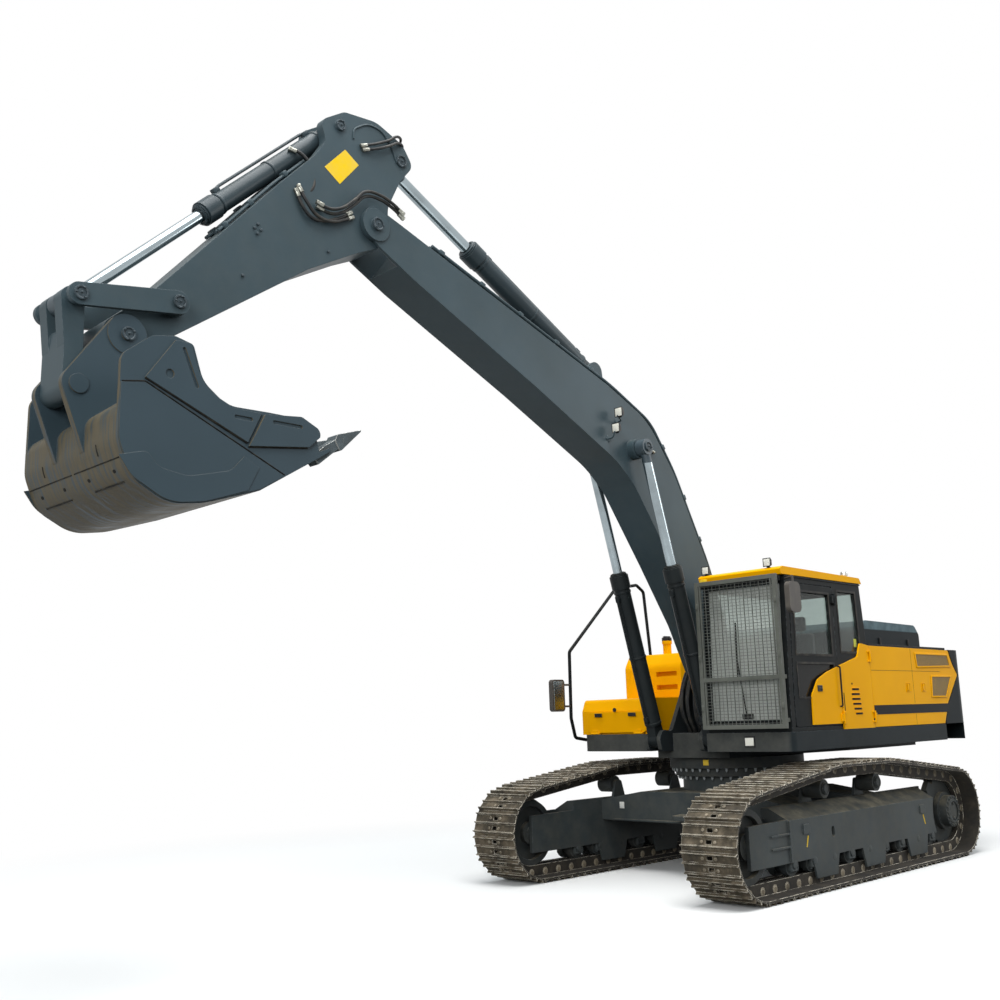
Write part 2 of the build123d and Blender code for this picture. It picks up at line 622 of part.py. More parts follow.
def build_undercarriage():
    loop = track_loop()
    for side, name in ((1, "left"), (-1, "right")):
        move = Location((0, side * TRACK_Y, 0))
        save("track_" + name, loop.moved(move))
        frame = track_frame()
        save("track_frame_" + name, frame if side > 0 else frame.mirror(Plane.XZ))
    save("idlers", *both(idler()))
    save("sprockets", *both(sprocket()))
    case, flange = final_drive()
    save("final_drives", *both(case), *both(flange))
    lower, upper = [], []
    for x in ROLLER_PLACES:
        lower += both(track_roller(x))
    for x in CARRIER_PLACES:
        upper += both(carrier_roller(x))
    save("track_rollers", *lower)
    save("carrier_rollers", *upper)
    save("carbody", carbody())
    save("slew_ring_lower", ring(RING_LOWER_RADIUS, RING_INNER, TURRET_TOP, RING_SPLIT - RING_GAP))
    save("slew_ring_upper", ring(RING_UPPER_RADIUS, RING_INNER, RING_SPLIT, RING_TOP))


def cab_frame():
    """Hollow welded cab: floor, four pillars, top frame and the lower walls, open at windows and door."""
    shell = prism([(CAB_REAR, CAB_FLOOR), (CAB_FRONT, CAB_FLOOR), (CAB_FRONT, 1900), (CAB_FRONT - 70, CAB_TOP),
                   (CAB_REAR + 60, CAB_TOP), (CAB_REAR, 2400)], CAB_RIGHT, CAB_LEFT)
    room = prism([(CAB_REAR + 50, CAB_FLOOR + 50), (CAB_FRONT - 50, CAB_FLOOR + 50), (CAB_FRONT - 50, 1900),
                  (CAB_FRONT - 120, CAB_TOP - 60), (CAB_REAR + 110, CAB_TOP - 60), (CAB_REAR + 50, 2400)],
                 CAB_RIGHT + 45, CAB_LEFT - 45)
    shell = shell.cut(room)
    doorway = prism([(B_PILLAR, CAB_FLOOR + 40), (CAB_FRONT - 70, CAB_FLOOR + 40), (CAB_FRONT - 72, 1900),
                     (CAB_FRONT - 132, CAB_TOP - 70), (B_PILLAR, CAB_TOP - 70)], CAB_LEFT - 60, CAB_LEFT + 1)
    rear_side = prism([(CAB_REAR + 150, 2330, 40), (B_PILLAR - 90, 2330, 40), (B_PILLAR - 90, CAB_TOP - 100, 40),
                       (CAB_REAR + 170, CAB_TOP - 100, 40)], CAB_LEFT - 60, CAB_LEFT + 1)
    right = prism([(CAB_REAR + 150, 2100, 40), (CAB_FRONT - 110, 2100, 40), (CAB_FRONT - 150, CAB_TOP - 100, 40),
                   (CAB_REAR + 170, CAB_TOP - 100, 40)], CAB_RIGHT - 1, CAB_RIGHT + 60)
    front = prism([(CAB_RIGHT + 60, 1640), (CAB_LEFT - 60, 1640), (CAB_LEFT - 60, CAB_TOP - 80),
                   (CAB_RIGHT + 60, CAB_TOP - 80)], CAB_FRONT - 200, CAB_FRONT + 10, "x")
    rear = prism([(CAB_RIGHT + 90, 2350), (CAB_LEFT - 90, 2350), (CAB_LEFT - 90, CAB_TOP - 110),
                  (CAB_RIGHT + 90, CAB_TOP - 110)], CAB_REAR - 10, CAB_REAR + 130, "x")
    for opening in (doorway, rear_side, right, front, rear):
        shell = shell.cut(opening)
    return shell


def cab_roof():
    """Pressed roof cap that overhangs the cab and steps up over the rear half."""
    return prism([(CAB_FRONT + 10, CAB_TOP + SEAT_GAP), (CAB_FRONT + 30, CAB_TOP + 60, 15), (CAB_FRONT - 20, ROOF_TOP, 30),
                  (CAB_REAR + 60, ROOF_TOP - 20, 40), (CAB_REAR + 20, CAB_TOP + SEAT_GAP)], CAB_RIGHT + 12, CAB_LEFT + 15)


def cab_glass():
    """Windscreen, rear and side panes, each a plate seated in its opening."""
    thick = 8
    screen = prism([(CAB_FRONT - 40, 1646), (CAB_FRONT - 40 + thick, 1646), (CAB_FRONT - 40 + thick, 1900),
                    (CAB_FRONT - 98 + thick, CAB_TOP - 86), (CAB_FRONT - 98, CAB_TOP - 86), (CAB_FRONT - 40, 1900)],
                   CAB_RIGHT + 60.3, CAB_LEFT - 60.3)
    side = prism([(CAB_REAR + 150.3, 2330.3, 40), (B_PILLAR - 90.3, 2330.3, 40),
                  (B_PILLAR - 90.3, CAB_TOP - 100.3, 40), (CAB_REAR + 170.4, CAB_TOP - 100.3, 40)], CAB_LEFT - 30, CAB_LEFT - 30 + thick)
    right = prism([(CAB_REAR + 150.3, 2100.3, 40), (CAB_FRONT - 110.4, 2100.3, 40),
                   (CAB_FRONT - 150.4, CAB_TOP - 100.3, 40), (CAB_REAR + 170.4, CAB_TOP - 100.3, 40)], CAB_RIGHT + 20, CAB_RIGHT + 20 + thick)
    rear = prism([(CAB_REAR + 62, 2352), (CAB_REAR + 70, 2352), (CAB_REAR + 78, CAB_TOP - 112),
                  (CAB_REAR + 70, CAB_TOP - 112)], CAB_RIGHT + 90.3, CAB_LEFT - 90.3)
    return [screen, side, right, rear]


def cab_guard():
    """Tube frame of the windscreen guard, with its middle and lower rails and every second wire of its mesh."""
    x = CAB_FRONT + 75
    low, high, left, right = 1580.0, CAB_TOP - 20, CAB_LEFT - 30, CAB_RIGHT + 20
    tube = 22.0
    middle = 2070.0
    posts = [box((x - tube, x + tube), (y - tube, y + tube), (low, high)) for y in (left, right)]
    rails = [box((x - tube, x + tube), (right - tube, left + tube), (z - tube, z + tube)) for z in (low, middle, high)]
    mounts = [box((CAB_FRONT - 60 if z > 2500 else CAB_FRONT + 0.3, x), (y - 15, y + 15), (z - 20, z + 20))
              for y in (left, right) for z in (low + 60, middle)]
    wires = []
    columns = round((left - right) / GUARD_COLUMN)
    for k in range(1, columns):
        y = right + k * (left - right) / columns
        wires.append(box((x - 4, x + 4), (y - 3, y + 3), (low, high)))
    rows = round((high - low) / GUARD_ROW)
    for k in range(1, rows):
        z = low + k * (high - low) / rows
        wires.append(box((x - 4, x + 4), (right, left), (z - 3, z + 3)))
    mesh = wires[0].fuse(*wires[1:])
    return joined(*posts, *rails, *mounts, mesh)


def door_parts():
    """Cab door: frame with two windows, its panes, and the coloured lower rear skin."""
    low, high = CAB_FLOOR + 40 + DOOR_GAP, CAB_TOP - 70 - DOOR_GAP
    rear, front = B_PILLAR + DOOR_GAP, CAB_FRONT - 80 - DOOR_GAP
    inner, outer = CAB_LEFT - 45, CAB_LEFT
    leaf = prism([(rear, low, 30), (front, low, 30), (front - 2, 1900), (front - 60, high, 60), (rear, high, 30)],
                 inner, outer)
    upper = prism([(rear + 75, 2290, 30), (front - 90, 2290, 30), (front - 125, high - 70, 60),
                   (rear + 75, high - 70, 30)], inner - 1, outer + 1)
    lower = prism([(rear + 75, 1850, 30), (front - 90, 1850, 30), (front - 90, 2215, 30),
                   (rear + 75, 2215, 30)], inner - 1, outer + 1)
    leaf = leaf.cut(upper).cut(lower)
    panes = [prism([(rear + 75.3, 2290.3, 30), (front - 90.4, 2290.3, 30), (front - 125.4, high - 70.3, 60),
                    (rear + 75.3, high - 70.3, 30)], inner + 16, inner + 24),
             prism([(rear + 75.3, 1850.3, 30), (front - 90.3, 1850.3, 30), (front - 90.3, 2214.7, 30),
                    (rear + 75.3, 2214.7, 30)], inner + 16, inner + 24)]
    return leaf, panes


HINGE_STANDS = HALF_WIDTH + 10.5        # how far out the side doors' hinge axes lie


def build_cab():
    """The cab, its door and what is inside it. Returns the pieces that other parts seat against."""
    frame = cab_frame()
    high_hinge = hinge(B_PILLAR + 3, HINGE_STANDS, 2900, "z", 40, (-32, -36), (46, -36), 10)
    low_hinge = hinge(B_PILLAR + 3, HINGE_STANDS, 1640, "z", 40, (-46, -12), (46, -16), 10)
    frame = frame.fuse(high_hinge[0]).clean()
    save("cab_frame", frame)
    save("cab_roof", cab_roof())
    save("cab_glass", *cab_glass())
    save("windscreen_guard", cab_guard())
    leaf, panes = door_parts()
    save("cab_door", leaf.fuse(high_hinge[1]).clean())
    save("cab_door_glass", *panes)
    skin = prism([(B_PILLAR + DOOR_GAP + 4, CAB_FLOOR + 60), (800, CAB_FLOOR + 60), (785, 1880, 80),
                  (650, 2040, 150), (440, 2120, 200), (B_PILLAR + DOOR_GAP + 4, 2185)],
                 CAB_LEFT + SEAT_GAP, HALF_WIDTH - 3)
    save("cab_door_skin", skin.fuse(low_hinge[1]).clean())
    seat = joined(prism([(150, 1980, 40), (660, 2010, 50), (660, 2110, 50), (240, 2110), (150, 2080)], 720, 1220),
                  prism([(90, 2080, 40), (240, 2080, 40), (150, 2760, 60), (30, 2760, 60)], 740, 1200),
                  box((220, 560), (820, 1120), (CAB_FLOOR + 50 + SEAT_GAP, 2000)))
    save("seat", seat)
    consoles = [prism([(150, CAB_FLOOR + 300), (760, CAB_FLOOR + 300), (820, 2150, 40), (780, 2210, 30),
                       (150, 2150, 30)], y0, y1) for y0, y1 in ((560, 700), (1240, 1360))]
    column = prism([(900, CAB_FLOOR + 50 + SEAT_GAP), (1000, CAB_FLOOR + 50 + SEAT_GAP), (980, 2120),
                    (900, 2120)], 560, 640)
    feet = [box((300, 500), (y0, y1), (CAB_FLOOR + 50 + SEAT_GAP, CAB_FLOOR + 301))
            for y0, y1 in ((600, 660), (1270, 1330))]
    save("control_consoles", consoles[0].fuse(feet[0]), consoles[1].fuse(feet[1]), column)
    return frame, low_hinge[0]


def side_panels(cab_hinge):
    """The fixed panel behind the cab door, and a service door on each side with its two hinges."""
    low, top = DECK_TOP + SEAT_GAP, HOOD_LEVEL
    fixed = prism([(B_PILLAR - DOOR_GAP, low), (B_PILLAR - DOOR_GAP, 2192), (60, 2215, 120), (-250, 2290, 60),
                   (-330, 2440, 30), (-370, 2440, 20), (SIDE_DOOR_FRONT + DOOR_GAP, 2420),
                   (SIDE_DOOR_FRONT + DOOR_GAP, low)], CAB_LEFT + SEAT_GAP, HALF_WIDTH)
    rear_edge = [(-2610, top - 20, 20), (-2700, 2240, 20), (-2820, 2110, 20), (-2480, 1780), (SIDE_DOOR_REAR, low + 5)]
    left = prism([(SIDE_DOOR_FRONT, low + 5), (SIDE_DOOR_FRONT, top - 10, 20)] + rear_edge,
                 HALF_WIDTH - PANEL_THICK, HALF_WIDTH)
    right_front = TANK_REAR - DOOR_GAP
    right = prism([(right_front, low + 5), (right_front, top - 16, 20)] + rear_edge,
                  -HALF_WIDTH, -HALF_WIDTH + PANEL_THICK)
    fixed = fixed.fuse(cab_hinge)
    right_pins = []
    for z in (1640, 2300):
        pin, knuckle = hinge(SIDE_DOOR_FRONT + 3, HINGE_STANDS, z, "z", 40, (46, -12), (-46, -12), 10)
        fixed, left = fixed.fuse(pin), left.fuse(knuckle)
        pin, knuckle = hinge(TANK_REAR - 3, -HINGE_STANDS, z, "z", 40, (46, 12), (-46, 12), 10)
        right_pins.append(pin)
        right = right.fuse(knuckle)
    save("side_panel_left", fixed.clean())
    save("side_door_left", left.clean())
    save("side_door_right", right.clean())
    return right_pins


def build_bodywork(cab, cab_hinge):
    top, low = HOOD_LEVEL, DECK_TOP + SEAT_GAP
    inner = HALF_WIDTH - PANEL_THICK
    tank_pins = side_panels(cab_hinge)
    posts = []
    for y_low, y_high, places in ((inner - 60, inner - SEAT_GAP, (SIDE_DOOR_FRONT - 40, -1560.0)),
                                  (-inner + SEAT_GAP, -inner + 60, (TANK_REAR - 60, -2200.0))):
        for x in places:
            posts.append(box((x - 60, x), (y_low, y_high), (low, top - 60 - SEAT_GAP)))
    save("body_posts", *posts)
    cover = prism([(CAB_REAR - 45, -630), (CAB_REAR - 45, inner - 6, 30), (-2640, inner - 6, 30),
                   (-2640, -inner + 6, 30), (TANK_REAR - DOOR_GAP, -inner + 6, 30), (TANK_REAR - DOOR_GAP, -630)],
                  top - 60, top + 15, "z")
    cover = cover.cut(box((HOOD_REAR - 10, HOOD_FRONT + 10), (-HOOD_HALF - 10, HOOD_HALF + 10),
                          (top - 70, top + 30)))
    wall = 30
    hood = prism([(HOOD_REAR, top - 20), (HOOD_FRONT, top - 20), (HOOD_FRONT, HOOD_TOP - 70, 20),
                  (HOOD_FRONT - 60, HOOD_TOP, 50), (HOOD_REAR + 110, HOOD_TOP - 15, 100),
                  (HOOD_REAR, HOOD_TOP - 130, 60)], -HOOD_HALF, HOOD_HALF)
    inside = prism([(HOOD_REAR + wall, top - 21), (HOOD_FRONT - wall, top - 21), (HOOD_FRONT - wall, HOOD_TOP - 85),
                    (HOOD_FRONT - 75, HOOD_TOP - wall), (HOOD_REAR + 125, HOOD_TOP - wall - 15),
                    (HOOD_REAR + wall, HOOD_TOP - 145)], -HOOD_HALF + wall, HOOD_HALF - wall)
    hood = hood.cut(inside)
    for y in (-HOOD_HALF + 160, HOOD_HALF - 160):
        pin, knuckle = hinge(HOOD_REAR - 12, y, top + 25.5, "y", 40, (-46, -12), (20, 20), 10)
        cover, hood = cover.fuse(pin), hood.fuse(knuckle)
    save("top_cover", cover.clean())
    save("engine_hood", hood.clean())
    save("engine_block", box((-2250, -1150), (-450, 450), (low, 2330)))
    fuel = prism([(FUEL_REAR, low), (95, low), (95, top - 110, 140), (-10, top + 40, 60),
                  (FUEL_REAR, top + 40, 30)], -HALF_WIDTH, -640)
    for z in STEP_PLACES:
        fuel = fuel.cut(prism([(0, z), (96, z), (96, z + 55), (30, z + 55)], -1010, -700))
    filler = Solid.make_cylinder(52, 165, Plane(origin=(-150, -1000, top + 35))).fuse(
        Solid.make_cylinder(62, 40, Plane(origin=(-150, -1000, top + 165))))
    save("fuel_tank", joined(fuel, filler))
    tank = prism([(TANK_REAR, low), (FUEL_REAR - 5, low), (FUEL_REAR - 5, top - 10, 30), (TANK_REAR, top - 10, 30)],
                 -HALF_WIDTH, -640)
    save("hydraulic_tank", joined(tank, *tank_pins))
    box_low, box_high = -HALF_WIDTH, -480
    chest = prism([(110, low), (TOOLBOX_FRONT, low), (TOOLBOX_FRONT, 1790), (TOOLBOX_FRONT - 60, 1925, 60),
                   (110, 1925, 30)], box_low, box_high)
    lid = prism([(box_low + 110, low + 20, 60), (box_high - 20, low + 20, 60), (box_high - 20, 1775, 60),
                 (box_low + 110, 1775, 60)], TOOLBOX_FRONT + 6, TOOLBOX_FRONT + 40, "x")
    for y in (box_low + 230, box_high - 140):
        pin, knuckle = hinge(TOOLBOX_FRONT + 51, y, low + 11, "y", 40, (-52, 0), (-12, 40), 10)
        chest, lid = chest.fuse(pin), lid.fuse(knuckle)
    save("toolbox", chest.clean())
    save("toolbox_door", lid.clean())
    save("handrail", handrail(low, top))
    save("mirrors", *mirrors(cab))


RAIL_RADIUS = 20.0
RAIL_ROUTE = ((740, -HALF_WIDTH - RAIL_RADIUS - SEAT_GAP, 1440), (1080, -HALF_WIDTH - RAIL_RADIUS - SEAT_GAP, 1490),
              (1190, -1470, 1720), (1180, -1465, 2500), (240, -1465, 3320), (-190, -1465, 3390), (-330, -1465, 3310),
              (-380, -1440, HOOD_LEVEL + 42))


def handrail(low, top):
    """Bent tube from the deck's front corner up beside the toolbox and back to the tank's top."""
    points = [Vector(*p) for p in RAIL_ROUTE]
    path = FilletPolyline(*points, radius=60)
    circle = Plane(origin=points[0], z_dir=points[1] - points[0]) * Circle(RAIL_RADIUS)
    return sweep(circle, path=path)


def mirrors(cab):
    """Right mirror on the handrail by two arms, left mirror on an arm from the cab's front pillar."""
    rail_y = -1466.0
    start = 1188.0 + RAIL_RADIUS + SEAT_GAP
    right = prism([(1330, 1800, 40), (1540, 1800, 40), (1540, 2170, 40), (1330, 2170, 40)], -1490, -1430)
    for z in (1860, 2110):
        right = right.fuse(bar((start, rail_y, z), (1400, -1462, z), 12))
    left = prism([(1150, 2700, 60), (1365, 2700, 60), (1365, 3010, 60), (1150, 3010, 60)], 1600, 1655)
    elbow = (1240, 1628, 3068)
    stem = bar((1100, CAB_LEFT - 20, 3068), elbow, 12).fuse(bar(elbow, (1240, 1628, 2990), 12))
    return right.clean(), left.fuse(stem).cut(cab).clean()


# ---- Boom, arm, bucket and their cylinders ----
def barrel(length, radius, rod_radius, eye_radius):
    """Cylinder tube with its foot eye at the origin and its gland at the far end."""
    eye = drum(0, 0, eye_radius, -EYE_HALF, EYE_HALF)
    tube = shaft(NECK, length, radius)
    gland = shaft(length - GLAND_LENGTH, length, radius + GLAND_EXTRA)
    neck = prism([(0, -eye_radius * 0.9), (NECK + 5, -radius * 0.75), (NECK + 5, radius * 0.75),
                  (0, eye_radius * 0.9)], -EYE_HALF, EYE_HALF)
    whole = joined(eye, neck, tube, gland)
    whole = whole.cut(drum(0, 0, PIN_RADIUS + PIN_GAP, -EYE_HALF - 1, EYE_HALF + 1))
    return whole.cut(shaft(NECK + 25, length + 1, rod_radius + ROD_GAP))


def rod(reach, length, rod_radius, eye_radius):
    """Piston rod, drawn from its inner end to the eye at reach, with a short pin in the eye."""
    stem = shaft(reach - length, reach - eye_radius + 20, rod_radius)
    eye = drum(reach, 0, eye_radius, -EYE_HALF, EYE_HALF)
    return joined(stem, eye)


def boom():
    """Box-section boom, drawn along its chord from the foot pin."""
    side = [(-140, 60, 120), (120, 260), (1030, 800, 500), (2080, 1260, 900), (2760, 1430, 900),
            (3480, 1240, 1500), (6340, 245, 200), (6650, 130, 120), (6650, -120, 120), (6340, -125, 200),
            (5900, -45, 900), (4225, 362, 2000), (2900, 650, 1200), (2540, 640, 700), (1590, 375, 900),
            (820, 140, 600), (130, -170, 100), (-140, -60, 120)]
    beam = prism(side, -BOOM_HALF, BOOM_HALF)
    beam = beam.fuse(drum(0, 0, 175, -BRACKET_INNER + SIDE_GAP, BRACKET_INNER - SIDE_GAP))
    beam = beam.cut(drum(0, 0, BIG_PIN_RADIUS + PIN_GAP, -400, 400))
    fork_room = box((BOOM_LENGTH - 400, BOOM_LENGTH + 400), (-ARM_HALF - 10, ARM_HALF + 10), (-500, 700))
    beam = beam.cut(fork_room)
    tip = joined(*[drum(BOOM_LENGTH, 0, 150, low, high) for low, high in
                   ((ARM_HALF + 10, BOOM_HALF + 18), (-BOOM_HALF - 18, -ARM_HALF - 10))][:1])
    tip_other = tip.mirror(Plane.XZ)
    pin = drum(BOOM_LENGTH, 0, BIG_PIN_RADIUS, -BOOM_HALF - 30, BOOM_HALF + 30)
    bosses = []
    u, v = BOOM_PIN
    for low, high in ((BOOM_HALF - 5, BRACKET_OUTER), (-BRACKET_OUTER, -BOOM_HALF + 5)):
        bosses.append(drum(u, v, 110, low, high))
    fu, fv = ARM_CYLINDER_FOOT
    lugs = []
    for low, high in ((EYE_HALF + SIDE_GAP, EYE_HALF + 60), (-EYE_HALF - 60, -EYE_HALF - SIDE_GAP)):
        lugs.append(belt([(fu + 140, fv - 330, 60), (fu, fv, 102), (fu - 300, fv - 240, 60)], low, high))
    foot_pin = drum(fu, fv, PIN_RADIUS, -EYE_HALF - 70, EYE_HALF + 70)
    return joined(beam, tip, tip_other, pin, *bosses, *lugs, foot_pin)


def arm():
    """Box-section arm, drawn along its chord from the boom's tip pin."""
    side = [(-300, 1000, 150), (-620, 830, 260), (-815, 560, 200), (-815, 345, 90), (-560, 262, 300),
            (-280, 100, 200), (-60, -205, 200), (330, -150, 400), (900, -105), (2400, -140, 100),
            (ARM_LENGTH + 150, -150, 140), (ARM_LENGTH + 150, 140, 140), (2400, 205, 300), (770, 620),
            (250, 740, 300), (60, 820, 100), (10, 1000, 100)]
    beam = prism(side, -ARM_HALF, ARM_HALF)
    beam = beam.cut(drum(0, 0, BIG_PIN_RADIUS + PIN_GAP, -400, 400))
    beam = beam.cut(drum(ARM_LENGTH, 0, PIN_RADIUS + PIN_GAP, -400, 400))
    slot = EYE_HALF + SIDE_GAP
    rear_slot = prism([(-1200, -200), (-575, -200), (-575, 700), (-640, 1200), (-1200, 1200)], -slot, slot)
    a, b = BUCKET_CYLINDER_FOOT
    room = BUCKET_BARREL_RADIUS + 8
    top_slot = prism([(a - 115, b + 400), (a - 115, b - 60), (a - 60, b - 115), (a + 60, b - 130),
                      (a + 500, b - 240), (a + 900, b - 240), (a + 900, b + 400)], -room, room)
    beam = beam.cut(rear_slot).cut(top_slot)
    beam = beam.fuse(drum(*BUCKET_CYLINDER_FOOT, 100, room, ARM_HALF)).fuse(
        drum(*BUCKET_CYLINDER_FOOT, 100, -ARM_HALF, -room))
    pins = [drum(a, b, PIN_RADIUS, -ARM_HALF - 12, ARM_HALF + 12),
            drum(*ROCKER_PIVOT, PIN_RADIUS, -ROCKER_OUTER - 8, ROCKER_OUTER + 8),
            drum(*ROCKER_PIVOT, 92, -ROCKER_INNER + SIDE_GAP, ROCKER_INNER - SIDE_GAP)]
    return joined(beam, *pins)


def rocker():
    """One of the two arm links, with its half of the pin that carries the bucket link."""
    plate = belt([(0, 0, 90), (ROCKER_LENGTH, 0, 82)], ROCKER_INNER, ROCKER_OUTER)
    plate = plate.cut(drum(0, 0, PIN_RADIUS + PIN_GAP, ROCKER_INNER - 1, ROCKER_OUTER + 1))
    pin = drum(ROCKER_LENGTH, 0, PIN_RADIUS, EYE_HALF + 12, ROCKER_OUTER + 8)
    return plate.fuse(pin)


def bucket_link():
    """Box link between the rockers and the bucket: forked at the top, a single boss below."""
    lugs = []
    for low, high in ((EYE_HALF + 12, 178), (-178, -EYE_HALF - 12)):
        lugs.append(belt([(0, 0, 86), (LINK_LENGTH - 300, 0, 70)], low, high))
    web = belt([(250, 0, 62), (LINK_LENGTH, 0, 88)], -178, 178)
    whole = joined(*lugs, web)
    whole = whole.cut(drum(0, 0, PIN_RADIUS + PIN_GAP, -180, 180))
    return whole


BOOM_TIP = carried((BOOM_LENGTH, 0), BOOM_FOOT, BOOM_ANGLE)
BUCKET_PIN = carried((ARM_LENGTH, 0), BOOM_TIP, ARM_ANGLE)
ROCKER_LENGTH = hypot(LINK_PIN[0] - ROCKER_PIVOT[0], LINK_PIN[1] - ROCKER_PIVOT[1])
ROCKER_POINT = carried(ROCKER_PIVOT, BOOM_TIP, ARM_ANGLE)
LINK_POINT = carried(LINK_PIN, BOOM_TIP, ARM_ANGLE)
BUCKET_LINK_POINT = (BUCKET_PIN[0] + BUCKET_LINK_PIN[0], BUCKET_PIN[1] + BUCKET_LINK_PIN[1])
LINK_LENGTH = hypot(BUCKET_LINK_POINT[0] - LINK_POINT[0], BUCKET_LINK_POINT[1] - LINK_POINT[1])


def aim(start, end):
    """Angle above the horizontal and distance from one point to another."""
    return degrees(atan2(end[1] - start[1], end[0] - start[0])), hypot(end[0] - start[0], end[1] - start[1])


# Corners of the bucket's rolled wrapper from its front top edge round to its lip:
# outer x, outer z, outer radius, inner x, inner z, inner radius.
BUCKET_WRAP = [
    (-240, -290, 0, -225, -332, 0),
    (283, -690, 120, 257, -704, 95),
    (283, -905, 250, 257, -900, 225),
    (190, -1150, 260, 172, -1132, 235),
    (-90, -1300, 330, -86, -1272, 310),
    (-360, -1262, 600, -352, -1236, 600),
    (-800, -1122, 0, -790, -1094, 0),
    (-1330, -800, 0, -1318, -772, 0),
]


def bucket_side_plates():
    """What is welded and bolted on one side: lower cheek, heel plate, edge plate and side cutter."""
    face = BUCKET_HALF - 1
    rim = [(277, -905, 245), (185, -1143, 255), (-90, -1292, 325), (-360, -1254, 600)]
    cheek = prism([(277, -523), (107, -492, 40), (-1010, -990)] + [(-800, -1114)] + rim[::-1], face, face + 7)
    heel = prism([(277, -1015), (76, -961, 60), (-10, -1060, 120), (-224, -1095, 250), (-560, -1010, 150),
                  (-665, -890), (-790, -960), (-700, -1135)] + rim[:0:-1], face, face + 13)
    edge = prism([(107, -457), (-107, -151), (-226, -149, 40), (-274, -316, 300), (-365, -465, 250),
                  (-571, -552, 120), (-804, -553), (-691, -786)], face, face + 15)
    for start, end, radius in (((-173, -202), (-277, -450), 13), ((-590, -612), (-715, -612), 13)):
        edge = edge.cut(belt([(*start, radius), (*end, radius)], face + 4, face + 16))
    edge = edge.cut(drum(-70, -399, 32, face + 4, face + 16))
    cutter = prism([(-700, -812), (-829, -556, 15), (-1146, -520, 60), (-1324, -601, 60), (-1312, -654),
                    (-1212, -744, 30)], face, face + 24)
    cutter = cutter.cut(belt([(-905, -602, 13), (-1140, -600, 13)], face + 12, face + 25))
    return cheek, heel, edge, cutter


def bucket():
    """Digging bucket about its pin: rolled shell, side plates, hinge ears, lip and side cutters."""
    outer = [row[:3] for row in BUCKET_WRAP]
    inner = [row[3:] for row in reversed(BUCKET_WRAP)]
    middle = [tuple((a + b) / 2 for a, b in zip(row[:3], row[3:])) for row in BUCKET_WRAP]
    shell = prism(outer + inner, -BUCKET_HALF + 1, BUCKET_HALF - 1)
    room = prism(middle + [(-1500, -400)], -BUCKET_HALF, BUCKET_HALF)
    side = [(-110, -118, 60), (60, -150, 160), (280, -330, 120), (283, -905, 250), (190, -1150, 260),
            (-90, -1300, 330), (-360, -1262, 600), (-800, -1122), (-1330, -800), (-1290, -640), (-1190, -530, 120),
            (-880, -530), (-520, -540, 260), (-330, -400, 200), (-250, -150, 40)]
    sides = both(prism(side, BUCKET_HALF - BUCKET_SIDE, BUCKET_HALF))
    mx, mz = BUCKET_LINK_PIN
    ear = joined(belt([(0, 0, 150), (-200, -330, 60), (250, -880, 40), (mx, mz, 118)], EAR_INNER, EAR_OUTER),
                 drum(0, 0, 150, EAR_INNER, EAR_OUTER + 8))
    ears = both(ear.cut(room))
    plates = both(joined(*bucket_side_plates()))
    pins = [drum(0, 0, PIN_RADIUS, -EAR_OUTER - 18, EAR_OUTER + 18)]
    caps = both(drum(mx, mz, 70, EAR_OUTER - 1, EAR_OUTER + 12))
    lip = prism([(-1330, -800), (-1425, -738), (-1415, -715), (-1310, -762)], -BUCKET_HALF, BUCKET_HALF)
    return joined(shell, *sides, *plates, *ears, *pins, *caps, lip)


def tooth():
    """Adapter that straddles the lip, and the wedge that is pinned on its nose."""
    adapter = prism([(-1330, -850), (-1270, -790), (-1395, -690), (-1500, -622), (-1560, -600), (-1560, -672),
                     (-1500, -712)], -TOOTH_HALF, TOOTH_HALF)
    tip = prism([(-1480, -640), (-1500, -590, 20), (-1755, -508), (-1752, -522), (-1530, -722, 20)],
                -TOOTH_HALF - 8, TOOTH_HALF + 8)
    for side in (1, -1):
        flank = prism([(-1480, side * (TOOTH_HALF + 9)), (-1790, side * 26), (-1790, side * 200),
                       (-1480, side * 200)], -800, -400, "z")
        tip = tip.cut(flank)
    return adapter.fuse(tip).clean()


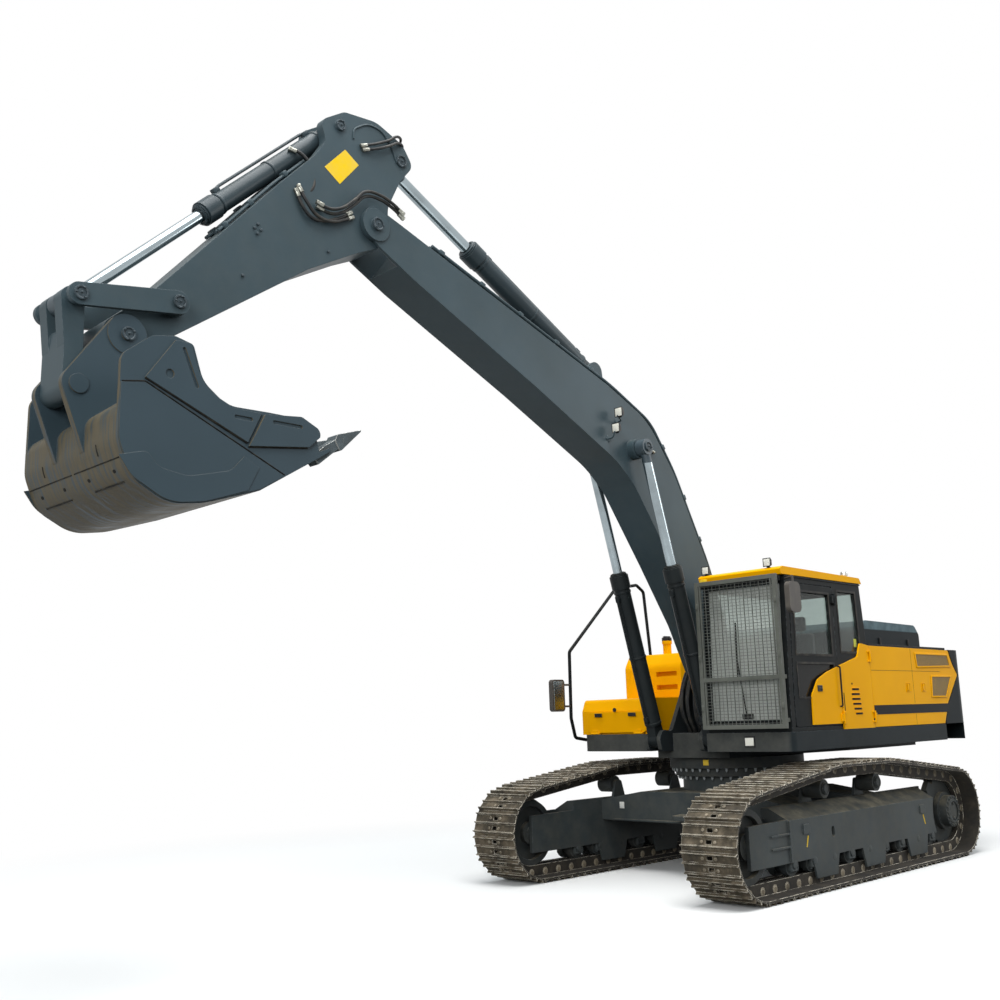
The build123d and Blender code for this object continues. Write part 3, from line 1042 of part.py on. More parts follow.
def build_front():
    def on_boom(piece):
        return turned(piece, BOOM_FOOT, BOOM_ANGLE)

    def on_arm(piece):
        return turned(piece, BOOM_TIP, ARM_ANGLE)

    save("boom", on_boom(boom()))
    save("arm", on_arm(arm()))
    angle, reach = aim(BOOM_CYLINDER_FOOT, carried(BOOM_PIN, BOOM_FOOT, BOOM_ANGLE))
    tube = barrel(BOOM_BARREL, BOOM_BARREL_RADIUS, BOOM_ROD_RADIUS, 95)
    stem = rod(reach, BOOM_ROD, BOOM_ROD_RADIUS, 88)
    side = Location((0, BOOM_CYLINDER_Y, 0))
    save("boom_cylinder_barrels", *both(turned(tube.moved(side), BOOM_CYLINDER_FOOT, angle)))
    save("boom_cylinder_rods", *both(turned(stem.moved(side), BOOM_CYLINDER_FOOT, angle)))
    start = carried(ARM_CYLINDER_FOOT, BOOM_FOOT, BOOM_ANGLE)
    angle, reach = aim(start, carried(ARM_CYLINDER_PIN, BOOM_TIP, ARM_ANGLE))
    save("arm_cylinder_barrel", turned(barrel(ARM_BARREL, ARM_BARREL_RADIUS, ARM_ROD_RADIUS, 92), start, angle))
    save("arm_cylinder_rod", turned(rod(reach, ARM_ROD, ARM_ROD_RADIUS, 92), start, angle))
    start = carried(BUCKET_CYLINDER_FOOT, BOOM_TIP, ARM_ANGLE)
    angle, reach = aim(start, LINK_POINT)
    save("bucket_cylinder_barrel",
         turned(barrel(BUCKET_BARREL, BUCKET_BARREL_RADIUS, BUCKET_ROD_RADIUS, 88), start, angle))
    save("bucket_cylinder_rod", turned(rod(reach, BUCKET_ROD, BUCKET_ROD_RADIUS, 84), start, angle))
    angle, _ = aim(ROCKER_POINT, LINK_POINT)
    save("arm_links", *both(turned(rocker(), ROCKER_POINT, angle)))
    angle, _ = aim(LINK_POINT, BUCKET_LINK_POINT)
    save("bucket_link", turned(bucket_link(), LINK_POINT, angle))
    scoop = bucket()
    save("bucket", turned(scoop, BUCKET_PIN, 0))
    teeth = []
    for k in range(TOOTH_COUNT):
        y = (k - (TOOTH_COUNT - 1) / 2) * (2 * BUCKET_HALF - 150) / (TOOTH_COUNT - 1)
        teeth.append(turned(tooth().moved(Location((0, y, 0))).cut(scoop), BUCKET_PIN, 0))
    save("bucket_teeth", *teeth)


def build_upper():
    save("main_frame", main_frame())
    save("counterweight", counterweight())
    cab, cab_hinge = build_cab()
    build_bodywork(cab, cab_hinge)


os.makedirs("parts", exist_ok=True)
build_undercarriage()
build_upper()
build_front()
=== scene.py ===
import json
import math

import bmesh
import bpy
from mathutils import Matrix, Quaternion, Vector


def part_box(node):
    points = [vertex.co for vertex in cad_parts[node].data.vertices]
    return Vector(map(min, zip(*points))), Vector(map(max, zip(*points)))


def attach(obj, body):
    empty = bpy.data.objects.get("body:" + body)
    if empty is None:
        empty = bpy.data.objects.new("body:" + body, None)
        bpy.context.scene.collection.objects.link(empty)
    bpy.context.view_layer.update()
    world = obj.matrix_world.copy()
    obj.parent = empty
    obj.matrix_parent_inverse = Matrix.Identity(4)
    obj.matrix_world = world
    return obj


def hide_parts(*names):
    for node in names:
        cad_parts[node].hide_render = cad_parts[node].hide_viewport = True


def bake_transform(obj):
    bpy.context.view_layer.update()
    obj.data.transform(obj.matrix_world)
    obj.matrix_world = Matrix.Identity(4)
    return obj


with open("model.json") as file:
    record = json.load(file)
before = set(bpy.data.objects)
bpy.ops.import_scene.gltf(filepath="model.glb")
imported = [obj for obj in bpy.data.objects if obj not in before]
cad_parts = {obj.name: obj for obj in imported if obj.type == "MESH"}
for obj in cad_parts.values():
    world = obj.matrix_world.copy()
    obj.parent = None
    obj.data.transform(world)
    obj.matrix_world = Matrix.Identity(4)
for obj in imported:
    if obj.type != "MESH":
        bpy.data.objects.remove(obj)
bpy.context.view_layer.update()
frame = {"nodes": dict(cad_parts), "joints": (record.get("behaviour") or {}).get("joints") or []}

bpy.ops.object.select_all(action="DESELECT")


# ---- Studio ----
# The machine stands on a pale floor under a wide soft ceiling light, with a weaker light from its
# front left, and is seen from its front left corner at about eye height.
def linear(code):
    """An sRGB hex colour as the linear colour that a shader takes."""
    parts = [int(code[i:i + 2], 16) / 255 for i in (1, 3, 5)]
    return tuple(p / 12.92 if p <= 0.04045 else ((p + 0.055) / 1.055) ** 2.4 for p in parts) + (1.0,)


class Tree:
    """A node tree that grows one node at a time; each call gives back the new node's output."""

    def __init__(self, owner):
        owner.use_nodes = True
        self.owner, self.nodes, self.place = owner, owner.node_tree.nodes, None
        self.nodes.clear()

    def add(self, kind, inputs=None, out=0, **settings):
        node = self.nodes.new("ShaderNode" + kind)
        for name, value in settings.items():
            setattr(node, name, value)
        for name, value in (inputs or {}).items():
            if isinstance(value, bpy.types.NodeSocket):
                self.owner.node_tree.links.new(value, node.inputs[name])
            else:
                node.inputs[name].default_value = linear(value) if isinstance(value, str) else value
        return node.outputs[out] if node.outputs else None

    def at(self, which="Object"):
        """Where a point is, or which way it faces."""
        if self.place is None:
            self.place = self.nodes.new("ShaderNodeTexCoord").outputs
        return self.place[which]

    def maths(self, operation, *values):
        return self.add("Math", dict(enumerate(values)), operation=operation)

    def vectors(self, operation, *values, out=0):
        return self.add("VectorMath", dict(enumerate(values)), out, operation=operation)

    def span(self, value, low=0.0, high=1.0, to_low=0.0, to_high=1.0, **settings):
        """A value, its range from low to high made into another."""
        return self.add("MapRange", {"Value": value, "From Min": low, "From Max": high, "To Min": to_low,
                                     "To Max": to_high}, **settings)

    def mix(self, share, first, second, **settings):
        """One colour, or another by a share."""
        return self.add("Mix", {"Factor": share, "A": first, "B": second}, "Result", data_type="RGBA",
                        **settings)

    def looked_at(self):
        """One where a camera, a reflection or glass looks, and nought where only light falls."""
        camera, glossy, through = (self.add("LightPath", out="Is %s Ray" % kind)
                                   for kind in ("Camera", "Glossy", "Transmission"))
        return self.maths("MAXIMUM", self.maths("MAXIMUM", camera, glossy), through)

    def close(self, surface, kind="Material"):
        self.add("Output" + kind, {"Surface": surface})
        return self.owner


WHITE = (1, 1, 1, 1)
bpy.ops.mesh.primitive_plane_add(size=160, location=(0, 0, -0.0005))
floor = bpy.context.object
floor.name = "studio_floor"
m = Tree(bpy.data.materials.new("matt_floor_paint"))
seen = m.looked_at()
matt = m.add("BsdfDiffuse", {"Color": m.mix(seen, "#3c3c3a", "#f4f4f2")})
# The floor melts into plain white by 10 m out, where the lamps would let it go grey.
far = m.span(m.vectors("LENGTH", m.at(), out="Value"), 5.0, 10.0, interpolation_type="SMOOTHSTEP")
white = m.add("Emission", {"Color": WHITE, "Strength": 1.0})
melting = m.add("MixShader", {0: m.maths("MULTIPLY", far, seen), 1: matt, 2: white})
floor.data.materials.append(m.close(melting))

sky = bpy.data.worlds.new("soft_studio")
bpy.context.scene.world = sky
m = Tree(sky)
ambient = m.add("Background", {"Color": "#e6eef5", "Strength": 0.6})
shown = m.add("Background", {"Color": WHITE, "Strength": 1.0})
m.close(m.add("MixShader", {0: m.looked_at(), 1: ambient, 2: shown}), "World")


def stand(name, data, place):
    """A lamp or a camera in its place."""
    holder = bpy.data.objects.new(name, data)
    bpy.context.scene.collection.objects.link(holder)
    holder.location = place
    return holder


# name, place, aims at, size across, watts
LAMPS = (("ceiling_light", (2.5, 3.0, 16.0), (0.0, 0.0, 1.5), 12.0, 2400.0),
         ("front_left_light", (16.0, 8.5, 7.0), (0.0, 0.5, 2.5), 8.0, 1500.0),
         ("tail_left_light", (-13.0, 11.0, 9.0), (-2.0, 0.5, 2.0), 7.0, 700.0))
for name, place, target, size, power in LAMPS:
    lamp = bpy.data.lights.new(name, "AREA")
    lamp.shape = "DISK"
    lamp.size = size
    lamp.energy = power
    turn = (Vector(target) - Vector(place)).to_track_quat("-Z", "Y")
    stand(name, lamp, place).rotation_euler = turn.to_euler()

heading, climb, lean = (math.radians(a) for a in (224.6, 11.15, 1.744))
looks = Vector((math.cos(heading) * math.cos(climb), math.sin(heading) * math.cos(climb), math.sin(climb)))
eye = bpy.data.cameras.new("camera")
eye.sensor_width = 36
eye.lens = 40.1
eye.clip_end = 400
camera = stand("camera", eye, (8.992, 7.430, 1.729))
camera.rotation_euler = (Quaternion(looks, lean) @ looks.to_track_quat("-Z", "Y")).to_euler()
bpy.context.scene.camera = camera
bpy.context.scene.view_settings.view_transform = "Standard"


# ---- Carbody and track frames ----
# Mild steel plate, cut by flame, bent and welded, then shot-blasted, primed and sprayed with satin
# slate enamel. Spraying leaves a fine orange peel, edges rub bright, and dust lies on what faces up.
class Finish(Tree):
    """A material of one principled surface."""

    def __init__(self, name):
        super().__init__(bpy.data.materials.new(name))

    def noise(self, scale, detail, roughness=0.5, vector=None):
        return self.add("TexNoise", {"Vector": vector or self.at(), "Scale": scale, "Detail": detail,
                                     "Roughness": roughness}, "Fac")

    def along(self, axis, which="Object"):
        return self.add("SeparateXYZ", {"Vector": self.at(which)}, axis)

    def edges(self, radius):
        """The normal over rounded edges, and how far it agrees with that of the flat faces."""
        rounded = self.add("Bevel", {"Radius": radius}, "Normal", samples=4)
        flat = self.add("NewGeometry", out="True Normal")
        return rounded, self.vectors("DOT_PRODUCT", rounded, flat, out="Value")

    def bump(self, height, strength, distance, normal=None):
        inputs = {"Height": height, "Strength": strength, "Distance": distance}
        return self.add("Bump", {**inputs, "Normal": normal} if normal else inputs)

    def skin(self, colour, roughness, normal=None, **inputs):
        """The finished material. A further input's name has _ for its spaces."""
        named = {name.replace("_", " "): value for name, value in inputs.items()}
        named.update({"Base Color": colour, "Roughness": roughness}, **({"Normal": normal} if normal else {}))
        return self.close(self.add("BsdfPrincipled", named))


def enamel(name, paint, shade, dust="#8d8571", dusty=0.35, gloss=0.42, peel=0.12, rub="#8b959b", rubbed=0.5,
           shine=0.18, sparse=0.15, clings=0.14, faded_above=None, ahead=None):
    """Sprayed enamel over steel: cloudy paint, settled dust, rubbed edges and orange peel."""
    m = Finish(name)
    base = m.mix(m.span(m.noise(1.7, 4.0), 0.3, 0.7), shade, paint)
    # Dust gathers on level faces in patches of about 150 mm.
    lying = m.maths("MAXIMUM", m.span(m.along("Z", "Normal"), 0.2), clings)
    # With ahead, faces that look forward take the dust colour too: partly dust, partly a painted reflection.
    if ahead:
        lying = m.maths("MAXIMUM", lying, m.span(m.along("X", "Normal"), 0.6, 0.95, 0.0, ahead))
    if faded_above:
        lying = m.maths("MAXIMUM", lying, m.span(m.along("Z"), faded_above, faded_above + 0.012))
    settled = m.maths("MULTIPLY", lying, m.span(m.noise(6.0, 8.0, 0.65), 0.38, 0.68, sparse))
    amount = m.maths("MULTIPLY", settled, dusty)
    # Edges rounded by 7 mm, rubbed where scratches of about 30 mm break the paint.
    rounded, agrees = m.edges(0.007)
    broken = m.span(m.noise(28.0, 5.0), 0.42, 0.62, 0.0, rubbed)
    worn = m.maths("MULTIPLY", m.span(agrees, 0.97, 0.80), broken)
    # Orange peel is 1 to 2 mm across; here it is 4 mm, so that it shows.
    return m.skin(m.mix(worn, m.mix(amount, base, dust), rub), m.span(amount, 0.0, 0.4, gloss, 0.9),
                  m.bump(m.noise(260.0, 1.0), peel, 0.0006, rounded), Specular_IOR_Level=shine)


def dress(material, *nodes):
    """Gives CAD pieces their real finish in place of the plain colour they came with."""
    for node in nodes:
        for holder in frame["nodes"][node].material_slots:
            holder.material = material


def use(piece):
    """Makes a piece the only one selected, and active."""
    bpy.ops.object.select_all(action="DESELECT")
    piece.select_set(True)
    bpy.context.view_layer.objects.active = piece
    return piece


def soften(piece, width, segments=2, angle=30):
    """Rounds the edges sharper than an angle."""
    use(piece)
    bevel = piece.modifiers.new("edges", "BEVEL")
    bevel.width = width
    bevel.segments = segments
    bevel.limit_method = "ANGLE"
    bevel.angle_limit = math.radians(angle)
    bpy.ops.object.modifier_apply(modifier="edges")
    return piece


def begin(operator, edge=0, rounding=None, **size):
    """Adds one primitive, with its place put into its mesh and its edges rounded by edge."""
    bpy.ops.object.select_all(action="DESELECT")
    operator(**size)
    bpy.ops.object.transform_apply(location=True, rotation=True, scale=True)
    return soften(bpy.context.object, edge, **(rounding or {})) if edge else bpy.context.object


def block(low, high, edge=0, **rounding):
    """A block between two corners."""
    return begin(bpy.ops.mesh.primitive_cube_add, edge, rounding, size=1,
                 location=[(a + b) / 2 for a, b in zip(low, high)], scale=[b - a for a, b in zip(low, high)])


def round_bar(start, end, radius, edge=0, sides=24, **rounding):
    """A round bar from one point to another."""
    run = Vector(end) - Vector(start)
    return begin(bpy.ops.mesh.primitive_cylinder_add, edge, rounding, vertices=sides, radius=radius,
                 depth=run.length, location=(Vector(start) + Vector(end)) / 2,
                 rotation=run.to_track_quat("Z", "Y").to_euler())


def join(*pieces):
    """Several meshes as one piece."""
    use(pieces[0])
    for piece in pieces:
        piece.select_set(True)
    if len(pieces) > 1:
        bpy.ops.object.join()
    return pieces[0]


def pivot(name):
    """Where a joint's axis stands."""
    return Vector(next(j["pos_m"] for j in frame["joints"] if j["name"] == name))


# Places on the undercarriage and the revolving frame are in millimetres from the swing axis.
swing = pivot("slew")
machine = Matrix.Translation((swing.x, swing.y, 0)) @ Matrix.Scale(0.001, 4)


def fit(piece, name, body, material, where=machine, smooth=32):
    """Names a finished piece, puts it in its place on the machine, paints it and lets it ride."""
    piece.name = name
    piece.data.transform(where)
    use(piece)
    bpy.ops.object.shade_smooth_by_angle(angle=math.radians(smooth))
    piece.data.materials.clear()
    piece.data.materials.append(material)
    if body:
        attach(piece, body)
    return piece


slate_steel = enamel("dusty_slate_enamel_on_welded_plate", "#3d4446", "#303638", dusty=0.8, gloss=0.5)
dress(slate_steel, "carbody", "track_frame_left", "track_frame_right")
# A rolled flange closes the lower front and rear edges of the carbody.
flanges = [block((x - 26, -1190, 552), (x + 26, 1190, 574), 6) for x in (962, -962)]
fit(join(*flanges), "carbody_flanges", "undercarriage", slate_steel)


# ---- Plates ----
# The type and warning plates are thin sheet aluminium with a printed film, held by two rivets. Here
# they carry nothing, so they are plain coloured film with a slight sheen.
def film(name, code, faded_to="#b8b09a"):
    m = Finish(name)
    faded = m.span(m.noise(9.0, 5.0), 0.35, 0.75, 0.0, 0.25)
    return m.skin(m.mix(faded, code, faded_to), 0.35, Specular_IOR_Level=0.06)


white_film = film("white_printed_film_on_aluminium", "#e2e2dc")
yellow_film = film("yellow_printed_film_on_aluminium", "#e9c21f")
fit(block((971, -972, 690), (977, -908, 762), 1.5), "carbody_plate", "undercarriage", white_film)
# Two slanting strips of yellow film are stuck on each track frame's outer face, below its pads.
strips = []
for x, slant in ((1165, -20), (-1430, 20)):
    for low, high in ((1520, 1521.5), (-1521.5, -1520)):
        strip = block((-9, low, -56), (9, high, 56))
        strip.data.transform(Matrix.Translation((x, 0, 470)) @ Matrix.Rotation(math.radians(slant), 4, "Y"))
        strips.append(strip)
fit(join(*strips), "track_frame_marks", "undercarriage", yellow_film)


# ---- Tracks ----
# Rolled steel shoes on forged links, never repainted: a brown skin of oxide and dry earth, with the
# grousers' tips ground bright and painted shade on the faces that do not look out of the loop. Four
# hexagon bolts hold each shoe, two at each side of its windows.
def earth_steel(name, dark, middle, light, bright, where_bright, inside=None):
    """Bare steel under dry earth, edges ground bright; painted shade, near black, on faces that do not look
    out of a loop that turns around (x, z).
    """
    m = Finish(name)
    earth = m.add("ValToRGB", {"Fac": m.noise(5.0, 8.0, 0.7)}, "Color")
    ramp = earth.node.color_ramp.elements
    ramp[0].position, ramp[1].position = 0.33, 0.68
    ramp[0].color, ramp[1].color = linear(dark), linear(light)
    ramp.new(0.5).color = linear(middle)
    # Painted shade: faces that do not look out of the loop, such as the grousers' sides, the shoe ends and the
    # loop's inside, are darkened to 0.22; from here earth carries that shade as well.
    if inside:
        off = m.vectors("SUBTRACT", m.at(), (inside[0], 0.0, inside[1]))
        outwards = m.vectors("NORMALIZE", m.vectors("MULTIPLY", off, (0.22, 0.0, 1.0)))
        facing = m.vectors("DOT_PRODUCT", outwards, m.at("Normal"), out="Value")
        earth = m.mix(1.0, earth, m.span(facing, 0.0, 0.2, 0.22), blend_type="MULTIPLY")
    rounded, agrees = m.edges(0.009)
    broken = m.span(m.noise(14.0, 4.0), 0.35, 0.55, 0.0, where_bright)
    ground = m.maths("MULTIPLY", m.span(agrees, 0.98, 0.88), broken)
    # Earth grains are under 1 mm; the bump is 8 mm lumps with finer ones on them.
    return m.skin(m.mix(ground, earth, bright), m.span(ground, 0.0, 1.0, 0.85, 0.35),
                  m.bump(m.noise(120.0, 6.0), 0.5, 0.002, rounded),
                  Metallic=m.maths("MULTIPLY", ground, 0.35))


dress(earth_steel("rolled_track_steel_with_dry_earth", "#26221b", "#4d4537", "#7c705d", "#f0e8d4", 1.0,
                  inside=(-2.311, 0.5)), "track_left", "track_right")
bolt_steel = earth_steel("forged_bolt_steel_with_dry_earth", "#4a4336", "#7a6f5c", "#9a8e7a", "#d8d0bd", 0.8)

BOLT_LEFT = 72          # from the chain's middle
BOLT_ALONG = 53         # from the middle grouser
GROUSER = 24
GROUSER_APART = 95.5
TIP_WIDE = 9


def copies(piece, places):
    """One mesh with the piece at each place, given as matrices."""
    whole = bmesh.new()
    for place in places:
        single = piece.data.copy()
        single.transform(place)
        whole.from_mesh(single)
        bpy.data.meshes.remove(single)
    whole.to_mesh(piece.data)
    whole.free()
    return piece


def shifts(*spots):
    return [Matrix.Translation(spot) for spot in spots]


def shoe_places(side):
    """Where each shoe's middle grouser has its tip, x along and z outwards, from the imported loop."""
    chain = frame["nodes"]["track_" + side]
    low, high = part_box("track_" + side)
    tips = {}
    for face in chain.data.polygons:
        if abs(face.normal.y) > 0.01:
            continue
        along = Vector((face.normal.z, 0, -face.normal.x))
        reach = [chain.data.vertices[i].co.dot(along) for i in face.vertices]
        points = [chain.data.vertices[i].co.y for i in face.vertices]
        if abs(max(reach) - min(reach) - TIP_WIDE / 1000) < 0.0004 and max(points) - min(points) > 0.5:
            spot = face.normal * face.normal.dot(face.center) + along * (max(reach) + min(reach)) / 2
            tips[tuple(round(c, 3) for c in spot)] = (spot, face.normal.copy(), along)
    places = []
    for spot, normal, along in tips.values():
        beside = [other for other, way, _ in tips.values() if way.dot(normal) > 0.9999
                  and abs((other - spot).length - GROUSER_APART / 1000) < 0.0015]
        if len(beside) == 2:
            turn = Matrix((along, Vector((0, 1, 0)), normal)).transposed().to_4x4()
            seat = Vector((spot.x, (low[1] + high[1]) / 2, spot.z))
            places.append(Matrix.Translation(seat) @ turn @ Matrix.Scale(0.001, 4))
    return places


as_it_is = Matrix.Identity(4)
for side in ("left", "right"):
    bolt = round_bar((0, 0, 0), (0, 0, 13), 17, 2.5, sides=6, segments=1)
    copies(bolt, [place @ shift for place in shoe_places(side) for shift in shifts(
        *((x, y, -GROUSER) for x in (-BOLT_ALONG, BOLT_ALONG) for y in (-BOLT_LEFT, BOLT_LEFT)))])
    fit(bolt, "shoe_bolts_" + side, "undercarriage", bolt_steel, as_it_is)


# ---- Wheels of the undercarriage ----
# Idlers, sprockets and rollers are steel castings and forgings, painted with the frame and then under
# road dust. Each roller's axle sits in two forged collars that four bolts hold to the frame.
cast_slate = enamel("slate_enamel_on_cast_steel", "#353b3d", "#25292a", dusty=0.9, gloss=0.55, peel=0.5)
dress(cast_slate, "idlers", "sprockets", "final_drives", "track_rollers", "carrier_rollers")
ROLLER_Z = 277
ROLLERS = [1420 - 380 * k for k in range(9)]
CARRIERS = (670, -460)
CARRIER_Z = 939
TRACK_Y = 1370
WHEEL_Z = 508
SPROCKET_X = -2153


def leave():
    bpy.ops.object.mode_set(mode="OBJECT")


def pick(piece, way, close=0.9, both=False):
    """Edit mode with those faces selected that look a way, or either way along it."""
    use(piece)
    for parts in (piece.data.edges, piece.data.vertices):
        parts.foreach_set("select", [False] * len(parts))
    turns = [face.normal.dot(Vector(way)) for face in piece.data.polygons]
    piece.data.polygons.foreach_set("select", [turn > close or (both and turn < -close) for turn in turns])
    bpy.ops.object.mode_set(mode="EDIT")
    bpy.ops.mesh.select_mode(type="FACE")


def stepped(piece, way, *insets, push=0, close=0.9):
    """Insets the faces that look a way, by (thickness, depth) in turn, then pushes them out or in."""
    pick(piece, way, close)
    for thickness, depth in insets:
        bpy.ops.mesh.inset(thickness=thickness, depth=depth)
    if push:
        bpy.ops.mesh.extrude_region_move(TRANSFORM_OT_translate={"value": tuple(Vector(way) * push)})
    leave()
    return piece


def around(count, radius, first=0.0):
    """Evenly spaced points on a circle."""
    turns = [first + 2 * math.pi * k / count for k in range(count)]
    return [(radius * math.cos(turn), radius * math.sin(turn)) for turn in turns]


def facing(x, y, z, left=None):
    """A place for a piece made to face left; it faces right on the machine's right side."""
    left = y > 0 if left is None else left
    return Matrix.Translation((x, y, z)) @ Matrix.Rotation(0 if left else math.pi, 4, "Z")


LEFT = (0, 1, 0)
collar = stepped(block((-70, -26, -62), (70, 26, 22), 10, segments=3), LEFT, (16, -6))
cap = round_bar((0, 20, 0), (0, 34, 0), 40, 5)
nuts = copies(round_bar((0, 0, -74), (0, 0, -62), 15, sides=6), shifts((-46, 0, 0), (46, 0, 0)))
collar = copies(join(collar, cap, nuts), [facing(x, y, ROLLER_Z, left) for x in ROLLERS for y, left in (
    (1487, True), (1253, False), (-1487, False), (-1253, True))])
fit(collar, "roller_collars", "undercarriage", slate_steel)

hub = stepped(round_bar((0, 0, 0), (0, 14, 0), 62, 4), LEFT, (18, 0), push=10)
heads = copies(round_bar((0, 14, 0), (0, 21, 0), 9, sides=6), shifts(*((x, 0, z) for x, z in around(6, 52))))
hub = copies(join(hub, heads), [facing(x, y, CARRIER_Z) for x in CARRIERS
                                for y in (TRACK_Y + 100.5, -TRACK_Y - 100.5)])
fit(hub, "carrier_roller_caps", "undercarriage", cast_slate)

# The gear case's cover has a ring of cap screws, a fill plug and a drain plug.
screws = copies(round_bar((0, 0, 0), (0, 13, 0), 12, 2, sides=6, segments=1),
                shifts(*((x, 178, z) for x, z in around(18, 160))))
cover = stepped(round_bar((0, 178, 0), (0, 186, 0), 138, 3, sides=48), LEFT, (30, -4))
plugs = copies(round_bar((0, 184, 0), (0, 196, 0), 17, 2, sides=6), shifts((0, 0, -82), (0, 0, 82)))
case = copies(join(cover, screws, plugs), [facing(SPROCKET_X, y, WHEEL_Z) for y in (TRACK_Y, -TRACK_Y)])
fit(case, "final_drive_covers", "undercarriage", cast_slate)

# Chain pins: the forged ends stand out of every link, on both sides of both chains.
for side in ("left", "right"):
    end = round_bar((0, -103, 0), (0, 103, 0), 27, 3, sides=12, segments=1)
    boss = round_bar((0, -101.5, 0), (0, 101.5, 0), 42, 3, sides=14, segments=1)
    pins = copies(join(end, boss), [place @ Matrix.Translation((-108, 0, -91))
                                    for place in shoe_places(side)])
    fit(pins, "chain_pins_" + side, "undercarriage", bolt_steel, as_it_is)


# ---- Slew ring ----
# A rolled bearing between the turret and the revolving frame. A circle of screws with washers hangs
# from each flange, and a small plate is riveted to its front.
dress(cast_slate, "slew_ring_lower", "slew_ring_upper")
screw_steel = enamel("grey_phosphate_on_forged_screws", "#a4a9a7", "#83888a", dusty=0.2, gloss=0.5)
for name, body, radius, top, count in (("slew_screws_lower", "undercarriage", 662, 1040, 40),
                                       ("slew_screws_upper", "upper", 731, 1130, 44)):
    head = round_bar((0, 0, -30), (0, 0, -6), 15, 2, sides=6, segments=1)
    washer = round_bar((0, 0, -6), (0, 0, 0), 20, sides=16)
    stud = round_bar((0, 0, -40), (0, 0, -30), 9, sides=10)
    screw = copies(join(head, washer, stud), shifts(*((x, y, top) for x, y in around(count, radius))))
    fit(screw, name, body, screw_steel)
plate = block((759, -33, 1165), (764, 33, 1225), 1.5)
plate.data.transform(Matrix.Rotation(math.radians(7.5), 4, "Z"))
fit(plate, "slew_ring_plate", "upper", yellow_film)


# ---- Revolving frame and counterweight ----
# The deck is welded plate in satin charcoal enamel, cleaner than the undercarriage. The counterweight
# is one iron casting, filled, ground and sprayed satin charcoal.
# The deck's forward faces are lightened with the dust colour: partly dust, partly a painted reflection.
dress(enamel("satin_charcoal_enamel_on_deck_plate", "#22292d", "#1b2124", dust="#85837a", dusty=0.3, gloss=0.42,
             shine=0.05, ahead=1.0, sparse=0.6), "main_frame")
dress(enamel("satin_charcoal_enamel_on_cast_iron", "#1c2326", "#161c1f", dusty=0.12, gloss=0.42, peel=0.4,
             shine=0.05), "counterweight", "engine_block", "body_posts", "hydraulic_tank")


# ---- Work lamps ----
# Pressed square housings of black nylon with a bright aluminium reflector behind a clear ribbed
# polycarbonate lens, each on a bent steel bracket.
def moulded(name, code, rough=0.5, grain=900.0, strength=0.25):
    """Moulded plastic or rubber with a fine spark-eroded grain, about 1 mm across."""
    m = Finish(name)
    thin = m.span(m.noise(11.0, 6.0), 0.45, 0.8, 0.0, 0.3)
    return m.skin(m.mix(thin, code, "#6d675a"), rough, m.bump(m.noise(grain, 2.0), strength, 0.0004),
                  Specular_IOR_Level=0.25)


def wave(m, scale, direction, distortion=0.0, vector=None):
    return m.add("TexWave", {"Vector": vector or m.at(), "Scale": scale, "Distortion": distortion}, "Fac",
                 bands_direction=direction)


black_nylon = moulded("moulded_black_nylon", "#17181a")
# The lens has ribs 8 mm apart, over a bright reflector.
m = Finish("ribbed_polycarbonate_lens")
ribs = wave(m, 40.0, "Z", 0.6)
clear_lens = m.skin(m.mix(ribs, "#cfcdbd", "#fffdf2"), 0.12, m.bump(ribs, 0.6, 0.002), Coat_Weight=1.0,
                    Coat_Roughness=0.03)
FRONT = (1, 0, 0)


def work_lamp(name, body, where, spot, turned_by, size, drop):
    """A square lamp facing local x at a spot, with its bracket reaching down by drop."""
    half = size / 2
    shell = block((-58, -half, -half), (0, half, half))
    pick(shell, (-1, 0, 0))
    bpy.ops.transform.resize(value=(1, 0.62, 0.62), center_override=(-58, 0, 0))
    leave()
    soften(stepped(shell, FRONT, (9, 0), push=-6), 5)
    shell = join(shell, block((-36, -20, -half - drop), (-26, 20, -half + 10), 3))
    inner = half - 9.5
    glass = stepped(block((-7, -inner, -inner), (-2, inner, inner)), FRONT, (10, 4))
    turn = where @ Matrix.Translation(spot) @ turned_by
    fit(shell, name + "_housing", body, black_nylon, turn)
    fit(glass, name + "_lens", body, clear_lens, turn)


# One lamp is let into the deck's front below the cab.
recess = stepped(block((1249.5, 935, 1372), (1252, 1065, 1488)), FRONT, (7, 0), push=6)
fit(soften(recess, 2), "deck_lamp_bezel", "upper", black_nylon)
lens = block((1257, 950, 1390), (1264, 1050, 1470), 3, segments=3)
fit(lens, "deck_lamp_lens", "upper", clear_lens)


# ---- Side panels and service doors ----
# Pressed steel sheet in gloss yellow enamel, with a moulded black stripe, two grilles of woven wire
# framed by a pressed lip, flush latches and a bank of pressed air slots.
yellow = enamel("gloss_yellow_enamel_on_pressed_steel", "#fcb400", "#f4ac00", dust="#a87f20", dusty=0.06,
                gloss=0.3, rub="#ffd34d", rubbed=0.3, peel=0.06, shine=0.04)
dress(yellow, "side_panel_left", "side_door_left", "side_door_right", "cab_door_skin")
black_film = film("black_vinyl_stripe", "#101112", faded_to="#262624")
joint_shade_film = film("shadowed_joint_in_yellow_sheet", "#4a3506", faded_to="#6b4f0c")
# Woven wire cloth: crossing wires, 12 mm apart, over painted shade for the dark space behind them.
m = Finish("woven_wire_grille")
turned = m.add("Mapping", {"Vector": m.at(), "Rotation": (0, math.radians(45), 0)})
wires = m.maths("MAXIMUM", *(m.span(wave(m, 26.0, axis, vector=turned), 0.45, 0.75) for axis in "XZ"))
wire_cloth = m.skin(m.mix(wires, "#241b08", m.mix(m.noise(7.0, 5.0), "#a07a1c", "#6f5a24")), 0.6,
                    m.bump(wires, 0.7, 0.003))


